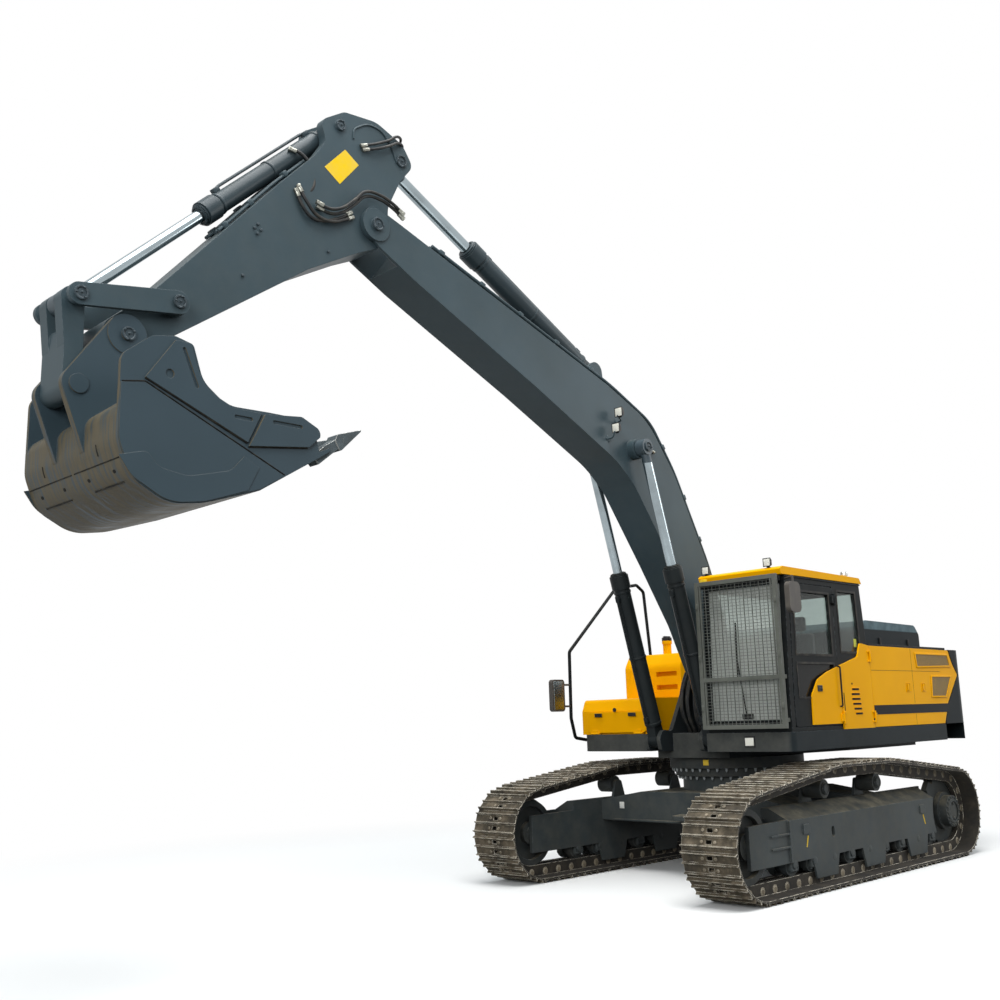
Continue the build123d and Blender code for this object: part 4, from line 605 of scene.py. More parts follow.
def flat_plate(corners, low, high):
    """A plate seen from the side: its outline as (x, z) corners, and its two y faces."""
    plate = use(begin(bpy.ops.mesh.primitive_grid_add, x_subdivisions=1, y_subdivisions=1, size=1))
    bpy.ops.object.mode_set(mode="EDIT")
    bpy.ops.mesh.select_all(action="SELECT")
    bpy.ops.mesh.delete(type="VERT")
    mesh = bmesh.from_edit_mesh(plate.data)
    mesh.faces.new([mesh.verts.new((x, low, z)) for x, z in corners])
    bmesh.update_edit_mesh(plate.data)
    bpy.ops.mesh.select_all(action="SELECT")
    bpy.ops.mesh.extrude_region_move(TRANSFORM_OT_translate={"value": (0, high - low, 0)})
    bpy.ops.mesh.select_all(action="SELECT")
    bpy.ops.mesh.normals_make_consistent(inside=False)
    leave()
    return plate


def rim(corners, low, high, wide):
    """A flat ring seen from the side, wide inwards from its corners, from one y face to the other."""
    ring = flat_plate(corners, low, high)
    pick(ring, LEFT, both=True)
    bpy.ops.mesh.inset(thickness=wide)
    bpy.ops.mesh.bridge_edge_loops()
    leave()
    return ring


HALF = 1490             # half the width over the side panels
STRIPE_LOW, STRIPE_HIGH = 1660, 1762
GRILLES = ([(-1660, 2365), (-2570, 2365), (-2640, 2205), (-1690, 2185)],
           [(-2060, 2100), (-2640, 2100), (-2440, 1835), (-2020, 1835)])
for side, body, front in ((1, "side_door_left", -536), (-1, "side_door_right", -1060)):
    def out(near, far):
        return sorted((side * (HALF + near), side * (HALF + far)))

    def panel(x, x2, z, z2, near, far, edge=0, **rounding):
        (low, high) = out(near, far)
        return block((x, low, z), (x2, high, z2), edge, **rounding)
    stripe = flat_plate([(front, STRIPE_LOW), (-2466, STRIPE_LOW), (-2493, STRIPE_HIGH),
                         (front, STRIPE_HIGH)], *out(0, 2.5))
    fit(stripe, body + "_stripe", body, black_film)
    cloths = [flat_plate(outline, *out(0, 3)) for outline in GRILLES]
    fit(join(*cloths), body + "_grilles", body, wire_cloth)
    lips = [rim(outline, *out(0, 9), 20) for outline in GRILLES]
    fit(soften(join(*lips), 2), body + "_grille_lips", body, yellow)
    # Flush latches with a folding paddle, and the joints between the sheets of the door, drawn as thin
    # lines of painted shade.
    latches = []
    for x in (-1420, -1820):
        cup = stepped(panel(x - 52, x + 52, 1905, 2010, 0, 5), (0, side, 0), (9, 0), push=-4)
        latches += [soften(cup, 2), panel(x - 20, x + 20, 1922, 1996, 1, 9, 6, segments=3)]
    fit(join(*latches), body + "_latches", body, yellow)
    shadow_lines = [panel(-1563, -1559, 1775, 2415, 0, 1), panel(-1563, -1559, 1527, 1655, 0, 1),
             panel(-2320, front - 4, 2146, 2150, 0, 1)]
    fit(join(*shadow_lines), body + "_seams", body, joint_shade_film)

# Air slots in the fixed panel: each is a dark opening under a pressed yellow brow.
dark_opening = moulded("shadowed_opening", "#0d0d0b", rough=0.9)
slots, brows = [], []
for k, long in enumerate((150, 165, 175, 180, 175, 150)):
    x, z = -235 + 8 * k, 1668 + 52 * k
    slots.append(block((x - 20, HALF - 1, z), (x - 20 + long, HALF + 2.5, z + 20), 8, segments=3))
    brows.append(block((x - 26, HALF - 1, z + 20), (x - 14 + long, HALF + 11, z + 27), 4, segments=3))
slots.append(block((118, HALF - 1, 1712), (132, HALF + 2, 1902), 6, segments=3))
slots += [round_bar((x, HALF - 1, z), (x, HALF + high, z), radius, edge)
          for x, z, high, radius, edge in ((-70, 1998, 4, 11, 2), (-520, 1606, 8, 17, 3))]
fit(join(*slots), "air_slots", "upper", dark_opening)
fit(join(*brows), "air_slot_brows", "upper", yellow)


# ---- Engine hood and top cover ----
# Pressed sheet hood in satin charcoal; its crown has faded and carries dust. A row of dark vents
# crosses its front part, and two rubber catches hold it shut on each side.
hood_paint = enamel("faded_charcoal_enamel_on_hood", "#171c1f", "#111618", dust="#7f9399", dusty=0.75,
                    gloss=0.4, sparse=0.6, shine=0.06, clings=0.02,
                    faded_above=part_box("engine_hood")[1][2] - 0.11)
dress(hood_paint, "engine_hood", "top_cover")
rubber = moulded("black_moulded_rubber", "#141414", rough=0.7, grain=500.0)
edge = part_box("engine_hood")[1][1] * 1000 + 1
catches = [block((x - 22, low, 2446), (x + 22, low + 16, 2560), 6, segments=3)
           for low in (edge, -edge - 16) for x in (-1500, -2250)]
vents = [block((x - 19, -560, 2756), (x + 19, 560, 2768), 5) for x in range(-1330, -1811, -60)]
fit(join(*catches), "hood_catches", "engine_hood", rubber)
fit(join(*vents), "hood_vents", "engine_hood", dark_opening)


# ---- Fuel tank and toolbox ----
# Welded tank and box in the same yellow enamel. A locking cap closes the tank's filler, and the
# toolbox has two oval pulls and a round lock on its door.
dress(yellow, "toolbox", "toolbox_door", "fuel_tank")
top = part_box("fuel_tank")[1][2] * 1000
filler = stepped(round_bar((-150, -1000, top - 2), (-150, -1000, top + 42), 62, 8, sides=40, segments=3),
                 (0, 0, 1), (14, 0), push=12)
grip = block((-205, -1010, top + 36), (-95, -990, top + 60), 8, segments=3)
fit(join(filler, grip), "fuel_filler_cap", "upper", black_nylon)
door_low, door_high = (Vector(corner) * 1000 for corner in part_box("toolbox_door"))
face = door_high.x - (swing.x * 1000)
middle_y = (door_low.y + door_high.y) / 2
pulls = [stepped(block((face - 1, y - 55, 1722), (face + 9, y + 55, 1764), 18, segments=5, angle=60), FRONT,
                 (8, 0), push=-6) for y in (middle_y - 250, middle_y + 250)]
lock = round_bar((face - 1, middle_y, 1800), (face + 12, middle_y, 1800), 24, 4)
fit(join(*pulls, lock), "toolbox_pulls", "toolbox_door", black_nylon)


# ---- Cab shell, roof and door ----
# Rolled steel pillars and pressed panels welded together, in satin charcoal, with a gloss yellow roof
# cap. The panes sit in extruded black rubber.
cab_paint = enamel("satin_charcoal_enamel_on_cab", "#1a1e20", "#141719", dust="#8b8878", dusty=0.22,
                   gloss=0.35, shine=0.05)
dress(cab_paint, "cab_frame", "cab_door")
dress(yellow, "cab_roof")


def clear_glass(name, front, haze, shaded_below=-1.0):
    """Toughened glass that casts no dark shadow: clear, dusty and pale with a painted sky reflection ahead of
    front, tinted elsewhere, and near black with painted shade below a given height."""
    m = Finish(name)
    ahead = m.maths("GREATER_THAN", m.along("X"), front)
    # Below a given height the glass is tinted near black as painted shade.
    above = m.maths("GREATER_THAN", m.along("Z"), shaded_below)
    through = m.mix(ahead, m.mix(above, "#0e1113", "#c0cac7"), "#e3ece8")
    # A weaker index in the side windows keeps the pale studio from veiling them.
    clear = m.add("BsdfPrincipled", {"Base Color": through, "Roughness": 0.02, "Transmission Weight": 1.0,
                                     "IOR": m.span(ahead, 0.0, 1.0, 1.2, 1.5)})
    # Dust lies thicker on the windscreen, and a further pale layer there is a painted reflection of the sky.
    film_of = m.span(m.noise(2.2, 6.0), 0.4, 0.8, 0.02, haze)
    amount = m.maths("ADD", film_of, m.maths("MULTIPLY", ahead, 0.38))
    dusty = m.add("MixShader", {0: amount, 1: clear, 2: m.add("BsdfDiffuse", {"Color": "#d2d4ce"})})
    passed = m.add("BsdfTransparent", {"Color": (0.9, 0.93, 0.92, 1.0)})
    return m.close(m.add("MixShader", {0: m.add("LightPath", out="Is Shadow Ray"), 1: dusty, 2: passed}))


dress(clear_glass("toughened_cab_glass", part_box("cab_frame")[1][0] - 0.16, 0.06), "cab_glass")
# The door glass is near black below 2.25 m: painted shade.
dress(clear_glass("smoked_door_glass", 99.0, 0.02, shaded_below=2.25), "cab_door_glass")
CAB_LEFT = 1472


def window_rubber(corners, wide):
    return soften(rim(corners, CAB_LEFT - 2, CAB_LEFT + 5, wide), 7 / 3)


side_seal = window_rubber([(-376, 2324), (86, 2324), (86, 3016), (-352, 3016)], 24)
fit(side_seal, "cab_window_rubber", "upper", rubber)
door_seals = join(window_rubber([(245, 2284), (1030, 2284), (996, 2970), (245, 2970)], 24),
                  window_rubber([(245, 1844), (1030, 1844), (1030, 2221), (245, 2221)], 22))
fit(door_seals, "door_window_rubber", "cab_door", rubber)
# A pull handle in a cup on the door's yellow skin, and a tubular grab rail behind the door.
cup = stepped(block((572, HALF - 4, 1918), (668, HALF + 6, 1982), 12, segments=4, angle=60), LEFT, (10, 0),
              push=-6)
lever = block((590, HALF + 2, 1942), (660, HALF + 13, 1960), 5, segments=3)
fit(join(cup, lever), "door_handle", "cab_door", black_nylon)
label = block((-330, CAB_LEFT - 21.5, 2400), (-270, CAB_LEFT - 20.5, 2490), 0.3, segments=1)
fit(label, "side_window_label", "upper", film("yellow_green_printed_film", "#c8cf4a"))


def pipe(points, radius, bend=None, sides=12):
    """A round bar along straight runs joined by bends, or a smooth hose where bend is None."""
    spots = [Vector(p) for p in points]
    curve = bpy.data.curves.new("pipe", "CURVE")
    curve.dimensions = "3D"
    curve.bevel_depth = radius
    curve.bevel_resolution = max(1, sides // 4 - 1)
    curve.use_fill_caps = True
    if bend is None:
        spline = curve.splines.new("BEZIER")
        spline.bezier_points.add(len(spots) - 1)
        for knot, spot in zip(spline.bezier_points, spots):
            knot.co = spot
            knot.handle_left_type = knot.handle_right_type = "AUTO"
        spline.resolution_u = 10
    else:
        route = [spots[0]]
        for before, corner, after in zip(spots, spots[1:], spots[2:]):
            into, out_of = (before - corner), (after - corner)
            reach = min(bend, into.length * 0.48, out_of.length * 0.48)
            start, end = corner + into.normalized() * reach, corner + out_of.normalized() * reach
            route += [start * (1 - t) ** 2 + corner * 2 * t * (1 - t) + end * t * t
                      for t in (k / 6 for k in range(7))]
        route.append(spots[-1])
        spline = curve.splines.new("POLY")
        spline.points.add(len(route) - 1)
        for knot, spot in zip(spline.points, route):
            knot.co = (*spot, 1)
    use(stand("pipe", curve, (0, 0, 0)))
    bpy.ops.object.convert(target="MESH")
    return bpy.context.object


grab = pipe([(215, CAB_LEFT + 2, 1760), (215, CAB_LEFT + 42, 1760), (205, CAB_LEFT + 42, 2180),
             (205, CAB_LEFT + 2, 2180)], 9, 30)
fit(grab, "door_grab_rail", "cab_door", cab_paint)
# Rain gutter along the roof's left edge.
gutter = block((-470, CAB_LEFT + 1, 3088), (1130, CAB_LEFT + 12, 3104), 4)
fit(gutter, "roof_gutter", "upper", cab_paint)


# ---- Roof lamps and beacon ----
# Two work lamps stand on the roof's front edge, and a small beacon with a satin aluminium foot at the
# rear. A yellow marker is stuck below the right lamp.
def satin_metal(name, code, rough, brushed=60.0, dulled=0.15, dull="#8a8476", eye=None):
    """Bare machined metal with turning marks and a little dirt, enamelled near an eye at (x, z, reach)."""
    m = Finish(name)
    marks = m.noise(brushed, 4.0)
    amount = m.span(m.noise(4.0, 7.0), 0.45, 0.75, 0.0, dulled)
    colour = m.mix(amount, code, dull)
    roughness = m.span(marks, 0.0, 1.0, rough * 0.7, rough * 1.4)
    metallic = m.maths("SUBTRACT", 1.0, amount)
    if eye:
        flat = m.vectors("MULTIPLY", m.at(), (1.0, 0.0, 1.0))
        off = m.vectors("DISTANCE", flat, (eye[0], 0.0, eye[1]), out="Value")
        bare = m.span(off, eye[2], eye[2] + 0.004)
        colour = m.mix(bare, "#39464d", colour)
        metallic = m.maths("MULTIPLY", metallic, bare)
        roughness = m.add("Mix", {"Factor": bare, "A": 0.5, "B": roughness}, "Result")
    return m.skin(colour, roughness, m.bump(marks, 0.08, 0.0003), Metallic=metallic)


aluminium = satin_metal("satin_cast_aluminium", "#c6c9c8", 0.3)
work_lamp("roof_lamp_left", "upper", machine, (1215, 1330, 3246), as_it_is, 92, 6)
work_lamp("roof_lamp_right", "upper", machine, (1205, 560, 3246), as_it_is, 92, 6)
fit(block((1226, 500, 3120), (1232, 590, 3150), 1.5), "roof_marker", "upper", yellow_film)
foot = round_bar((-400, 1340, 3168), (-400, 1340, 3205), 52, 5, sides=32)
dome = round_bar((-400, 1340, 3205), (-400, 1340, 3262), 43, 16, sides=32, segments=5)
fit(foot, "beacon_foot", "upper", aluminium)
fit(dome, "beacon_dome", "upper", aluminium)


# ---- Windscreen guard and wiper ----
# A welded tube frame with woven wire, in light grey enamel that dust has dulled. The finer wires run
# between the structural ones, crossing them in front and behind.
guard_paint = enamel("dusty_grey_enamel_on_guard", "#62655e", "#50534d", dust="#a8a498", dusty=0.7, gloss=0.5)
dress(guard_paint, "windscreen_guard")
GUARD_X = 1275
GUARD_LOW, GUARD_TOP = 1580, 3090
GUARD_RIGHT, GUARD_LEFT = 490, 1442
columns, rows = 10, 23
wires = []
for k in range(columns):
    y = GUARD_RIGHT + (k + 0.5) * (GUARD_LEFT - GUARD_RIGHT) / columns
    wires.append(round_bar((GUARD_X, y, GUARD_LOW), (GUARD_X, y, GUARD_TOP), 2.6, sides=6))
for k in range(rows):
    z = GUARD_LOW + (k + 0.5) * (GUARD_TOP - GUARD_LOW) / rows
    wires.append(round_bar((GUARD_X, GUARD_RIGHT, z), (GUARD_X, GUARD_LEFT, z), 2.6, sides=6))
fit(join(*wires), "guard_wires", "upper", guard_paint)
gate = [pipe([(GUARD_X + 14, y, GUARD_LOW + 18), (GUARD_X + 14, y, GUARD_TOP - 18)], 9, 10)
        for y in (531, 1400)]
hooks = [block((GUARD_X - 6, y - 14, z - 30), (GUARD_X + 34, y + 14, z + 30), 5)
         for y in (486, 1446) for z in (1780, 2300, 2850)]
fit(join(*gate, *hooks), "guard_gate", "upper", guard_paint)
brow = block((1206, 478, 3044), (1222, 1464, 3096), 4)
slits = [block((1221, y, 3060), (1224, y + 50, 3080), 1, segments=1) for y in range(520, 1346, 75)]
fit(brow, "guard_brow", "upper", cab_paint)
fit(join(*slits), "guard_brow_slits", "upper", dark_opening)


def tilted(piece, degrees, x, y, z):
    """A piece nose up about a level axis through a point."""
    piece.data.transform(Matrix.Translation((x, y, z)) @ Matrix.Rotation(math.radians(-degrees), 4, "Y")
                         @ Matrix.Translation((-x, -y, -z)))
    return piece


motor = block((1172, 900, 1660), (1208, 1020, 1712), 8, segments=3)
spindle = round_bar((1190, 960, 1700), (1216, 960, 1706), 12)
stalk = pipe([(1212, 960, 1706), (1200, 905, 2080), (1190, 880, 2250)], 7, 20)
blade = tilted(block((1171, 860, 2080), (1186, 872, 2660), 2), 2.4, 1180, 866, 2250)
fit(join(motor, spindle, stalk, blade), "wiper", "upper", black_nylon)


# ---- Mirrors and handrail ----
# Moulded nylon housings with glass gone dull, on bent tube in satin charcoal. The right glass looks back
# from the rail, the left one from ahead of the door; both face inwards.
# The housings' grey, lighter than their dark nylon, is a painted highlight.
dress(moulded("weathered_grey_nylon", "#4b4743"), "mirrors")
dress(cab_paint, "handrail")
m = Finish("silvered_mirror_glass")
silver = m.skin("#7d8688", m.span(m.noise(30.0, 4.0), 0.0, 1.0, 0.22, 0.34), Metallic=1.0)
glasses = [block(low, high, 26, segments=5, angle=60) for low, high in (
    ((1352, -1433, 1822), (1518, -1427, 2148)), ((1172, 1594, 2726), (1343, 1601, 2984)))]
fit(join(*glasses), "mirror_glasses", "upper", silver)


# ---- Operator's seat ----
# Foam cushions in a sewn weave cover, on a sprung foot behind a rubber bellows, with moulded armrests.
# The weave's threads are drawn 5 mm wide so that they show.
m = Finish("woven_seat_cloth")
thread = m.maths("MULTIPLY", wave(m, 60.0, "Y"), wave(m, 60.0, "Z"))
seat_cloth = m.skin(m.mix(thread, "#1d1f21", "#4a4c4e"), 0.9, m.bump(thread, 0.4, 0.001), Sheen_Weight=0.3)
for name, low, high, face, crown, margin in (
        ("seat_cushion", (165, 728, 1992), (656, 1212, 2106), (0, 0, 1), 8, 60),
        ("seat_back", (96, 748, 2104), (196, 1192, 2560), FRONT, 10, 60),
        ("seat_headrest", (92, 838, 2588), (168, 1102, 2752), FRONT, 6, 14)):
    # A stitched middle panel, crowned towards one direction.
    pad = stepped(block(low, high, 34, segments=3), face, (margin, 6), (6, -8), (8, 8), (margin, crown),
                  close=0.95)
    round_off = pad.modifiers.new("round", "SUBSURF")
    round_off.levels = 2
    bpy.ops.object.modifier_apply(modifier="round")
    fit(pad, name, "upper", seat_cloth, smooth=50)
    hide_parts("seat")
folds = []
for z in range(1600, 1911, 62):
    folds.append(block((236, 836, z), (544, 1104, z + 40), 18, segments=4))
    folds.append(block((254, 854, z + 20), (526, 1086, z + 62)))
tray = block((190, 760, 1970), (640, 1180, 1996), 8)
runner = block((222, 822, 1571), (560, 1118, 1600), 6)
arms = [block((190, y - 32, 2262), (520, y + 32, 2312), 20, segments=4) for y in (700, 1240)]
posts = [block((150, y - 14, 2130), (196, y + 14, 2290), 8) for y in (722, 1218)]
stems = [round_bar((130, y, 2540), (130, y, 2600), 8) for y in (900, 1040)]
suspension = join(*folds, tray, runner, *arms, *posts, *stems)
fit(suspension, "seat_suspension", "upper", rubber)
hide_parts("seat")


# ---- Controls ----
# Consoles of moulded grey plastic carry two joysticks in rubber boots, a monitor stands on the right
# column, and two travel levers with pedals stand in front of the seat.
dress(moulded("moulded_grey_plastic", "#3a3d3f", rough=0.55), "control_consoles")
sticks = []
for y in (630, 1300):
    sticks.append(begin(bpy.ops.mesh.primitive_cone_add, vertices=24, radius1=42, radius2=14, depth=80,
                        location=(700, y, 2226)))
    sticks.append(round_bar((706, y, 2255), (728, y * 0.995, 2372), 21, 9, sides=20, segments=4))
for y in (905, 1035):
    sticks.append(pipe([(905, y, 1600), (900, y, 1950), (862, y, 2120)], 9, 80))
    sticks.append(round_bar((872, y, 2085), (846, y, 2190), 17, 7, segments=3))
    sticks.append(tilted(block((905, y - 44, 1580), (1040, y + 44, 1594), 5), 18, 905, y, 1580))
fit(join(*sticks), "joysticks_and_levers", "upper", rubber)
monitor = stepped(block((880, 530, 2130), (912, 720, 2290), 10, segments=3), (-1, 0, 0), (12, 0), push=-3)
fit(monitor, "monitor", "upper", black_nylon)


# ---- Boom and its pipes ----
# A welded box of thick plate with cast bosses at its pins, in satin slate enamel. Steel pipes are
# clamped along its back, with a bend over the knuckle.
boom_slate = enamel("satin_slate_enamel_on_boom_plate", "#3b4b52", "#344349", dusty=0.25, gloss=0.45)
dress(boom_slate, "boom")


def lying(origin, towards):
    """Millimetres along, left of and above a line from one point towards another, as places in metres."""
    along = (Vector(towards) - Vector(origin)).normalized()
    left = Vector(LEFT)
    turn = Matrix((along, left, along.cross(left))).transposed().to_4x4()
    return Matrix.Translation(origin) @ turn @ Matrix.Scale(0.001, 4)


on_boom = lying(pivot("boom_lift"), pivot("arm_swing"))
BACK = [(330, 400), (1030, 830), (2080, 1293), (2700, 1460), (3420, 1288), (6150, 345)]


def over_back(lift, y, start, end):
    """Points above the boom's back, from a share of the first run to a share of the last."""
    spots = [Vector((u, y, v + lift)) for u, v in BACK]
    spots[0] = spots[0].lerp(spots[1], start)
    spots[-1] = spots[-2].lerp(spots[-1], end)
    return spots


def placed(piece, spot, turned_by, side):
    """A piece made for the left, turned and put at a spot, or its mirror image on the right."""
    piece.data.transform(Matrix.Translation(spot) @ turned_by @ Matrix.Diagonal((1, side, 1, 1)))
    if side < 0:
        piece.data.flip_normals()
    return piece


pipes = [pipe(over_back(24, y, 0.1, 0.93), 17, 150) for y in (-186, -146, 146, 186)]
pipes += [pipe(over_back(20, y, 0.3, 0.35), 12, 120) for y in (-108, 108)]
fit(join(*pipes), "boom_pipes", "boom", boom_slate, on_boom)
clamps = []
for first, count in ((0, 2), (1, 2), (2, 1), (4, 5)):
    (u, v), (u2, v2) = BACK[first:first + 2]
    run = Vector((u2 - u, 0, v2 - v))
    lean_of = Matrix.Rotation(-math.atan2(run.z, run.x), 4, "Y")
    for k in range(count):
        spot = Vector((u, 0, v)) + run * ((k + 0.6) / (count + 0.2))
        for side in (1, -1):
            clamp = block((-32, 122, 2), (32, 210, 48), 8)
            bolts = copies(round_bar((0, 0, 46), (0, 0, 58), 12, 2, sides=6),
                           shifts((-16, 166, 0), (16, 166, 0)))
            clamps.append(placed(join(clamp, bolts), spot, lean_of, side))
fit(join(*clamps), "pipe_clamps", "boom", boom_slate, on_boom)


# ---- Boom lamps ----
# Two work lamps on bent brackets stand out of the boom's left side, behind the knuckle.
look = Matrix.Rotation(math.radians(40), 4, "Y")
for k, ((u, v), (u2, v2)) in enumerate((((3263, 1000), (3139, 1006)), ((3200, 820), (3135, 745))), 1):
    bracket = pipe([(u2, 218, v2), (u2, 290, v2), (u - 20, 320, v - 30)], 9, 30)
    foot = block((u2 - 34, 219, v2 - 26), (u2 + 34, 227, v2 + 26), 4)
    fit(join(bracket, foot), "boom_lamp_bracket_%d" % k, "boom", boom_slate, on_boom)
    work_lamp("boom_lamp_%d" % k, "boom", on_boom, (u, 330, v), look, 104, 4)


# ---- Pins and their keepers ----
# Hardened pins end, on both sides alike, in a round cap that three bolts hold, with a grease nipple
# in its middle.
pin_steel = enamel("slate_enamel_on_forged_pins", "#39464d", "#303b41", dusty=0.3, gloss=0.45)


def keepers(name, body, where, spots):
    """Pin ends at (along, above, y outwards, radius), on both sides, each with a cap and three bolts."""
    parts = []
    for u, v, y, radius in spots:
        disc = stepped(round_bar((0, 0, 0), (0, 16, 0), radius, 4, sides=40), LEFT, (radius * 0.3, -4))
        heads = copies(round_bar((0, 15, 0), (0, 27, 0), radius * 0.14, 2, sides=6),
                       shifts(*((x, 0, z) for x, z in around(3, radius * 0.8, math.radians(30)))))
        nipple = round_bar((0, 11, 0), (0, 26, 0), 8, 2, sides=12)
        parts.append(copies(join(disc, heads, nipple), [facing(u, y, v), facing(u, -y, v)]))
    fit(join(*parts), name, body, pin_steel, where)


knuckle = pivot("bucket_curl")
on_arm = lying(pivot("arm_swing"), knuckle)
keepers("boom_foot_keepers", "upper", machine, [(300, 2110, 321, 62), (1000, 1460, 468, 52)])
keepers("boom_keepers", "boom", on_boom, [(6500, 0, 250, 62), (2770, 950, 424, 54)])
keepers("arm_keepers", "arm", on_arm, [(-700, 430, 180, 60), (-170, 900, 192, 52), (2290, 60, 304, 52)])
keepers("link_keepers", "arm_links", on_arm, [(2979, 379, 304, 52)])
keepers("bucket_keepers", "bucket", machine, [((knuckle.x - swing.x) * 1000, knuckle.z * 1000, 264, 52)])


# ---- Arm, its plate and links ----
# The same welded plate and enamel. A round bar is welded around the arm's rear as a hose guard, and a
# diamond plate stands on each side of its head.
dress(boom_slate, "arm", "arm_links", "bucket_link")
diamond = [(-102, 696), (-172, 532), (143, 441), (217, 621)]
for name, corners, low in (("arm_sign_left", diamond, 180), ("arm_sign_right", diamond[::-1], -182.5)):
    plate = soften(flat_plate(corners, low, low + 2.5), 0.8, segments=1)
    fit(plate, name, "arm", yellow_film, on_arm)
GUARD_ROUTE = [(-255, 758), (-309, 839), (-504, 841), (-637, 742), (-661, 587), (-637, 435)]
bars = [pipe([(u, y, v) for u, v in GUARD_ROUTE], 9, 70) for y in (184, -184)]
fit(join(*bars), "arm_guard_bars", "arm", boom_slate, on_arm)
# Pipes run down the arm's back to the bucket, in pairs, under clamps.
runs = [pipe([(330, y, 735), (760, y, 648), (1250, y, 520), (1500, y, 455)], 14, 100)
        for y in (-96, -60, 60, 96)]
tilt = Matrix.Rotation(math.radians(14.2), 4, "Y")
clamps = [placed(block((-26, 40, -26), (26, 116, 22), 7), (u, 0, v), tilt, side)
          for u, v in ((600, 690), (1080, 570), (1420, 480)) for side in (1, -1)]
fit(join(*runs, *clamps), "arm_pipes", "arm", boom_slate, on_arm)
# Hexagon plugs of the lubrication lines, in two rows on the arm's left side.
plugs = [round_bar((u, 179, v), (u, 194, v), 14, 3, sides=6)
         for u, v in ((1180, 380), (1230, 365), (1180, 330), (1230, 315), (620, -40), (1560, 60))]
fit(join(*plugs), "arm_plugs", "arm", pin_steel, on_arm)


# ---- Hydraulic cylinders ----
# Honed tube with a bolted gland, in slate enamel; ground and hard-chromed rods. A steel pipe runs
# along each tube from its port block to the gland end.
tube_dark = enamel("dark_slate_enamel_on_cylinder_tube", "#22282a", "#1b2022", dusty=0.15, gloss=0.34,
                   rubbed=0.2, shine=0.1)
tube_slate = enamel("slate_enamel_on_cylinder_tube", "#344147", "#2b363b", dusty=0.2, gloss=0.34, rubbed=0.2)
dress(tube_dark, "boom_cylinder_barrels")
dress(tube_slate, "arm_cylinder_barrel", "bucket_cylinder_barrel")
for node, x, z, reach in (("boom_cylinder_rods", -0.392, 4.55, 0.17),
                          ("arm_cylinder_rod", 2.807, 6.815, 0.16),
                          ("bucket_cylinder_rod", 5.825, 4.711, 0.14)):
    dress(satin_metal("hard_chrome_on_" + node, "#9fabb0", 0.13, brushed=300.0, dulled=0.3, dull="#5a5f60",
                      eye=(x, z, reach)), node)
# name, body, joint, y, length, tube's radius, rod's radius, ports above or below
CYLINDERS = (("boom_cylinder_left", "boom_cylinder_barrels", "boom_cylinder_swing", 369, 1890, 90, 52, -1),
             ("boom_cylinder_right", "boom_cylinder_barrels", "boom_cylinder_swing", -369, 1890, 90, 52, -1),
             ("arm_cylinder", "arm_cylinder_barrel", "arm_cylinder_swing", 0, 1980, 98, 58, 1),
             ("bucket_cylinder", "bucket_cylinder_barrel", "bucket_cylinder_swing", 0, 1690, 84, 50, 1))
STROKE = {"boom_cylinder_swing": (0.28515, 0, 0.958483), "arm_cylinder_swing": (0.886902, 0, 0.461958),
          "bucket_cylinder_swing": (0.725441, 0, -0.688284)}
for name, body, joint, y, length, radius, rod, above in CYLINDERS:
    foot = pivot(joint)
    on_tube = lying(foot, foot + Vector(STROKE[joint])) @ Matrix.Translation((0, y, 0))
    # Gland: a bolted face, with its wiper ring raised around the rod.
    flange = radius + 4
    face = stepped(round_bar((length - 2, 0, 0), (length + 16, 0, 0), flange, 4, sides=48), FRONT,
                   (flange - rod - 16, 0), push=9)
    heads = copies(round_bar((length + 14, 0, 0), (length + 26, 0, 0), 9, 2, sides=6), [
        Matrix.Rotation(k * math.pi / 4, 4, "X") @ Matrix.Translation((0, (flange + rod) / 2 + 4, 0))
        for k in range(8)])
    bands = [round_bar((x - 14, 0, 0), (x + 14, 0, 0), radius + 7, 5, sides=48)
             for x in (190, length * 0.5, length - 190)]
    # Ports: a welded block at the gland and one at the foot, joined by a pipe.
    low, high = sorted((above * (radius - 8), above * (radius + 38)))
    ports = [block((x - 36, -24, low), (x + 36, 24, high), 7) for x in (250, length - 250)]
    near, far = above * (radius + 22), above * (radius + 32)
    line = pipe([(250, 0, near), (300, 0, far), (length - 300, 0, far), (length - 250, 0, near)], 13, 30)
    fit(join(face, heads, *bands, *ports, line), name + "_fittings", body, tube_dark if y else tube_slate,
        on_tube)


# ---- Bucket ----
# Thick wear plate welded from rolled and flat pieces, in slate enamel on its sides. Its wrapper and lip
# are worn down to brown steel, and the teeth are cast and bright along their edges.
m = Finish("worn_enamel_on_bucket_plate")
painted = m.mix(m.noise(2.2, 5.0), "#324047", "#394850")
streaky = m.noise(3.0, 8.0, 0.65, m.add("Mapping", {"Vector": m.at(), "Scale": (1.0, 9.0, 1.0)}))
wrapper = m.span(m.maths("ABSOLUTE", m.along("Y", "Normal")), 0.75, 0.35)
worn = m.maths("MULTIPLY", wrapper, m.span(streaky, 0.36, 0.52))
rounded, agrees = m.edges(0.007)
amount = m.maths("MAXIMUM", worn, m.span(agrees, 0.97, 0.82, 0.0, 0.2))
dress(m.skin(m.mix(amount, painted, m.mix(streaky, "#3d3a30", "#6b6350")), m.span(amount, 0.0, 1.0, 0.42, 0.6),
             m.bump(streaky, 0.15, 0.001, rounded), Specular_IOR_Level=0.18), "bucket")
dress(earth_steel("cast_tooth_steel", "#33393a", "#465054", "#5c6566", "#b9bab4", 1.0), "bucket_teeth")
on_bucket = machine @ Matrix.Translation(Vector((knuckle.x - swing.x, 0, knuckle.z)) * 1000)
